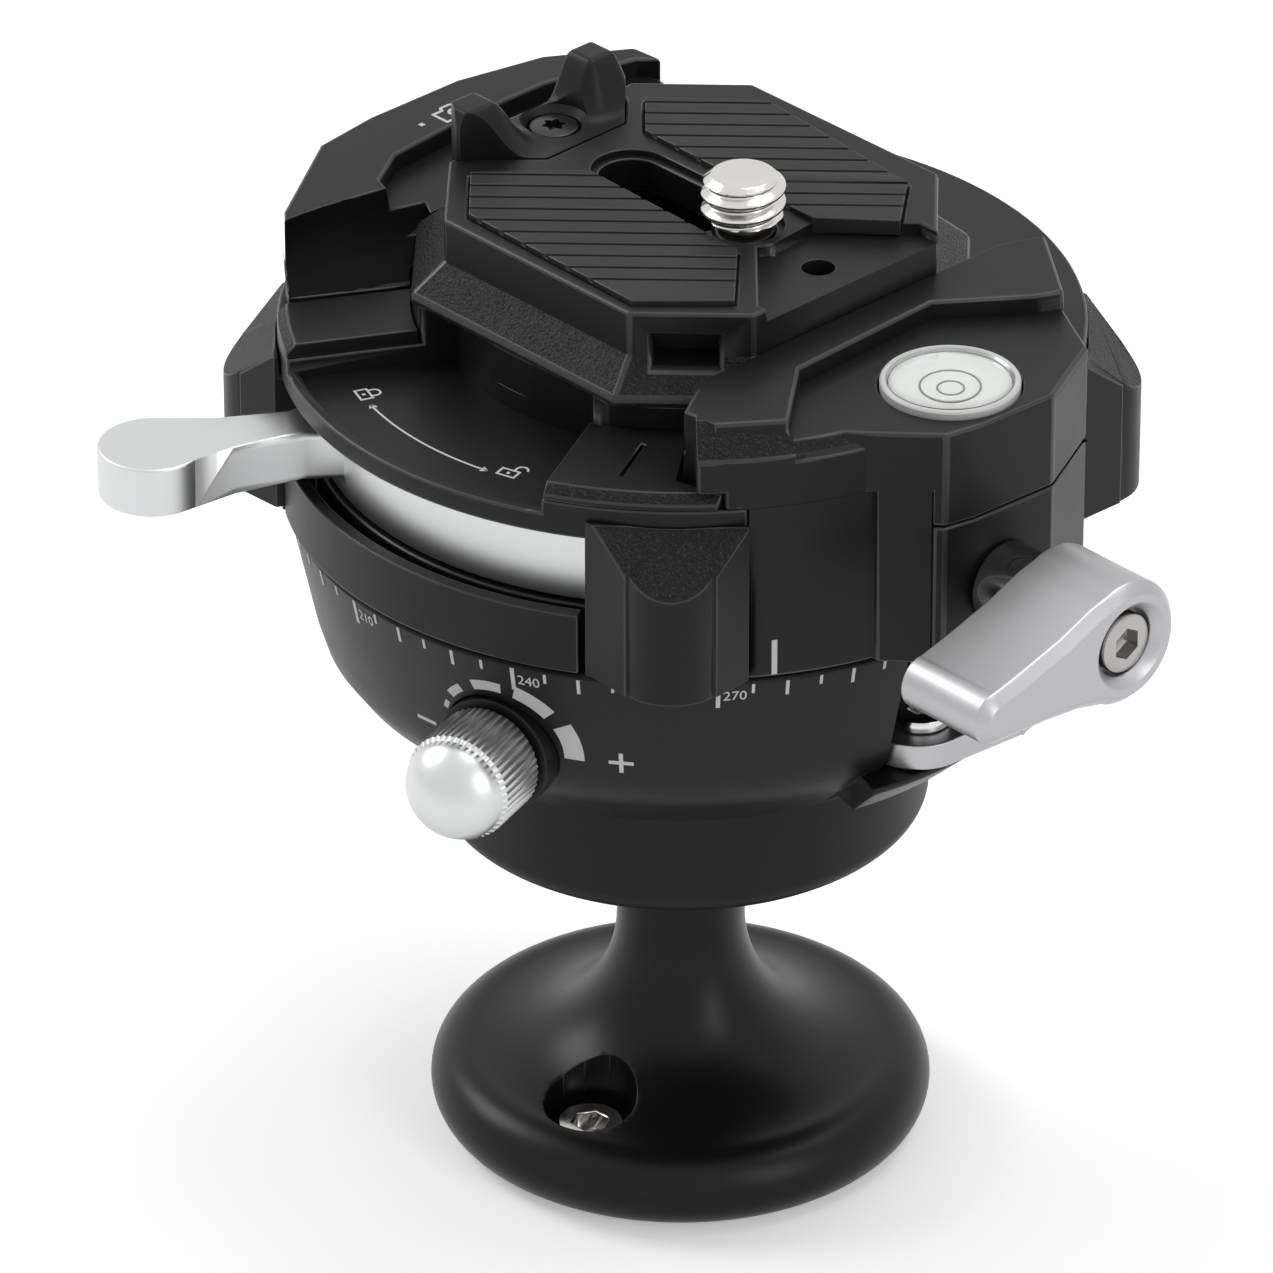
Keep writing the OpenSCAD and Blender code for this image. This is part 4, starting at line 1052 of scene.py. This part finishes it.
def drawPadlock(work, setup, kind):
    line = setup["line"]
    half = setup["bodyHalf"]
    high = setup["bodyHigh"]
    shackle = setup["shackle"]
    lid = high * setup["bodyTop"]
    turn, reach = setup[kind]
    place = onDeck(turn, reach, setup["height"])
    stroke(work, [(-half, -high), (half, -high), (half, lid), (-half, lid)], line, place, closed=True)
    stroke(work, [(0, setup["keyhole"]), (0, 0.0)], line * setup["keyholeWidth"], place)
    aside = 0 if kind == "closed" else half * setup["openAside"]
    base = lid + line / 2
    bow = arcPoints((aside, base + setup["shackleRise"]), shackle, 180, 0, 10)
    legs = [(aside - shackle, base)] + bow
    if kind == "closed":
        legs.append((aside + shackle, base))
    stroke(work, legs, line, place)


# A padlock at each end of the thumb lever's travel, and a two-headed arrow between them
def buildLockMarks(setup):
    work = bmesh.new()
    for kind in ("closed", "open"):
        drawPadlock(work, setup, kind)
    line = setup["line"]
    start, end = setup["arrow"]
    reach = setup["arrowReach"]

    def flat(u, v, lift):
        return Vector((u, v, setup["height"] + lift))

    stroke(work, arcPoints((0, 0), reach, start, end, 28), line, flat)
    for at, sign in ((start, 1), (end, -1)):
        turn = math.radians(at)
        tip = Vector((reach * math.cos(turn), reach * math.sin(turn)))
        along = Vector((-math.sin(turn), math.cos(turn))) * sign
        out = Vector((math.cos(turn), math.sin(turn)))
        for side in (-1, 1):
            barb = tip + along * setup["barbAlong"] + out * side * setup["barbAside"]
            stroke(work, [tip + along * setup["barbFrom"], barb], line, flat)
    linkMarks("lock_symbols", work, "clamp_disc")


buildLockMarks(lockSetup)

# The line on the pan body's wall, and the camera outline and dot on the moving jaw
smallMarks = {
    "indexTurn": -30.7, "indexRadius": 30.38, "indexFrom": 56.1, "indexTo": 59.0, "indexWidth": 0.42,
    "iconPlace": (-26.4, 1.3, 76.55), "iconHalf": (1.6, 0.8), "iconLine": 0.26,
    "hump": (0.7, 0.45, 0.4), "eye": 0.5, "dot": (-26.6, -2.0), "dotHalf": 0.22, "dotWidth": 0.42,
}


def buildSmallMarks(setup):
    work = bmesh.new()
    drum = onDrum(setup["indexTurn"], setup["indexRadius"])
    stroke(work, [(0, setup["indexFrom"]), (0, setup["indexTo"])], setup["indexWidth"], drum)
    linkMarks("pan_index_mark", work, "fixed_jaw")
    work = bmesh.new()
    x, y, z = setup["iconPlace"]

    def onJaw(u, v, lift):
        return Vector((x - v, y + u, z + lift))

    wide, high = setup["iconHalf"]
    humpFoot, humpTop, humpRise = setup["hump"]
    line = setup["iconLine"]
    stroke(work, [(-wide, -high), (wide, -high), (wide, high), (humpFoot, high), (humpTop, high + humpRise),
                  (-humpTop, high + humpRise), (-humpFoot, high), (-wide, high)], line, onJaw, closed=True)
    stroke(work, arcPoints((0, 0), setup["eye"], 0, 345, 20), line, onJaw, closed=True)
    dotX, dotY = setup["dot"]
    half = setup["dotHalf"]
    stroke(work, [(dotY - y - half, x - dotX), (dotY - y + half, x - dotX)], setup["dotWidth"], onJaw)
    linkMarks("camera_side_mark", work, "moving_jaw")


buildSmallMarks(smallMarks)
print("symbols and small marks made")

# The pan scale: long, middle and short lines from one tree, and a number at each long line.
# Of each kind's Count places, those that Skip divides after adding Shift are left to longer lines.
scaleSetup = {
    "zeroTurn": 51.6, "topHeight": 55.08, "topRadius": 29.785, "thickness": 0.1,
    "lines": {
        "long": {"Count": 12, "Skip": 1000, "Shift": 1, "Length": 2.1, "Width": 0.32},
        "middle": {"Count": 36, "Skip": 3, "Shift": 0, "Length": 1.35, "Width": 0.26},
        "short": {"Count": 72, "Skip": 2, "Shift": 0, "Length": 0.85, "Width": 0.22},
    },
    "numberHeight": 0.85, "numberAside": 0.35, "numberDrop": 0.55, "capShare": 0.7,
}
tickSockets = {
    "Count": "Int", "Skip": "Int", "Shift": "Int", "Radius": "Float", "Height": "Float", "Length": "Float",
    "Width": "Float", "Thickness": "Float", "Slope": "Float", "Zero": "Float", "Finish": "Material",
}


def makeTickTree():
    tree = bpy.data.node_groups.new("dialTicks", "GeometryNodeTree")
    for label, kind in tickSockets.items():
        tree.interface.new_socket(label, in_out="INPUT", socket_type="NodeSocket" + kind)
    tree.interface.new_socket("Ticks", in_out="OUTPUT", socket_type="NodeSocketGeometry")
    add = tree.nodes.new
    link = tree.links.new

    def vector(**axes):
        node = add("ShaderNodeCombineXYZ")
        for axis, value in axes.items():
            link(value, node.inputs[axis])
        return node.outputs[0]

    given = add("NodeGroupInput").outputs
    circle = add("GeometryNodeMeshCircle")
    link(given["Count"], circle.inputs["Vertices"])
    link(given["Radius"], circle.inputs["Radius"])
    index = add("GeometryNodeInputIndex").outputs[0]
    left = mathNode(tree, "MODULO", mathNode(tree, "ADD", index, given["Shift"]), given["Skip"])
    chosen = mathNode(tree, "GREATER_THAN", left, 0.5)
    bar = add("GeometryNodeMeshCube")
    link(vector(X=given["Thickness"], Y=given["Width"], Z=given["Length"]), bar.inputs["Size"])
    hung = add("GeometryNodeTransform")
    link(bar.outputs["Mesh"], hung.inputs["Geometry"])
    link(vector(Z=mathNode(tree, "MULTIPLY", given["Length"], -0.5)), hung.inputs["Translation"])
    step = mathNode(tree, "DIVIDE", fullTurn, given["Count"])
    around = mathNode(tree, "MULTIPLY", index, step)
    placed = add("GeometryNodeInstanceOnPoints")
    link(circle.outputs["Mesh"], placed.inputs["Points"])
    link(chosen, placed.inputs["Selection"])
    link(hung.outputs["Geometry"], placed.inputs["Instance"])
    link(vector(Y=given["Slope"], Z=around), placed.inputs["Rotation"])
    real = add("GeometryNodeRealizeInstances")
    link(placed.outputs["Instances"], real.inputs["Geometry"])
    raised = add("GeometryNodeTransform")
    link(real.outputs["Geometry"], raised.inputs["Geometry"])
    link(vector(Z=given["Height"]), raised.inputs["Translation"])
    link(vector(Z=given["Zero"]), raised.inputs["Rotation"])
    painted = add("GeometryNodeSetMaterial")
    link(raised.outputs["Geometry"], painted.inputs["Geometry"])
    link(given["Finish"], painted.inputs["Material"])
    link(painted.outputs["Geometry"], add("NodeGroupOutput").inputs["Ticks"])
    return tree


def tickMesh(tree, name, values):
    holder = bpy.data.objects.new(name + "Holder", bpy.data.meshes.new(name + "Empty"))
    modifier = holder.modifiers.new("ticks", "NODES")
    modifier.node_group = tree
    for item in tree.interface.items_tree:
        if item.in_out == "INPUT":
            modifier[item.identifier] = values[item.name]
    scene.collection.objects.link(holder)
    return bakedMesh(holder, name + "Mesh")


def buildTicks(setup):
    tree = makeTickTree()
    shared = {
        "Radius": setup["topRadius"] * mm, "Height": setup["topHeight"] * mm,
        "Thickness": setup["thickness"] * mm, "Slope": wallSlope, "Zero": math.radians(setup["zeroTurn"]),
        "Finish": markWhite,
    }
    for name, line in setup["lines"].items():
        values = {**shared, **line, "Length": line["Length"] * mm, "Width": line["Width"] * mm}
        mesh = tickMesh(tree, "scale_" + name, values)
        linkPiece("scale_" + name + "_lines", mesh, "ball_housing", replaces=False)


# Letter shapes come flat; each is given a thickness and laid on the wall
def buildNumbers(setup):
    work = bmesh.new()
    for step in range(12):
        value = 30 * step
        curve = bpy.data.curves.new("number", "FONT")
        curve.body = str(value)
        curve.size = setup["numberHeight"] / setup["capShare"]
        curve.resolution_u = 3
        flat = bpy.data.objects.new("number", curve)
        scene.collection.objects.link(flat)
        mesh = bakedMesh(flat, "numberMesh")
        letters = bmesh.new()
        letters.from_mesh(mesh)
        bmesh.ops.remove_doubles(letters, verts=letters.verts, dist=0.0005)
        place = onHousing(value + setup["zeroTurn"], setup["topHeight"])
        front = {}
        rear = {}
        for vert in letters.verts:
            u = vert.co.x + setup["numberAside"]
            v = vert.co.y - setup["numberDrop"] - setup["numberHeight"]
            front[vert] = work.verts.new(place(u, v, markSetup["proud"]))
            rear[vert] = work.verts.new(place(u, v, markSetup["sunk"]))
        for face in letters.faces:
            work.faces.new([front[vert] for vert in face.verts])
            work.faces.new([rear[vert] for vert in reversed(face.verts)])
        for edge in letters.edges:
            if len(edge.link_faces) == 1:
                first, second = edge.verts
                work.faces.new((front[first], front[second], rear[second], rear[first]))
        letters.free()
        bpy.data.meshes.remove(mesh)
    linkMarks("scale_numbers", work, "ball_housing")


buildTicks(scaleSetup)
buildNumbers(scaleSetup)
print("pan scale made")

replacedNodes = set(edgeSetup) | set(screwSetup) | {
    "friction_knob", "camera_screw", "anti_twist_ears", "level_cup", "level_lens",
}
for nodeName, source in frame["nodes"].items():
    if nodeName not in replacedNodes:
        for slot in source.material_slots:
            slot.material = slotFinish.get(slot.material.name, satinBlack)
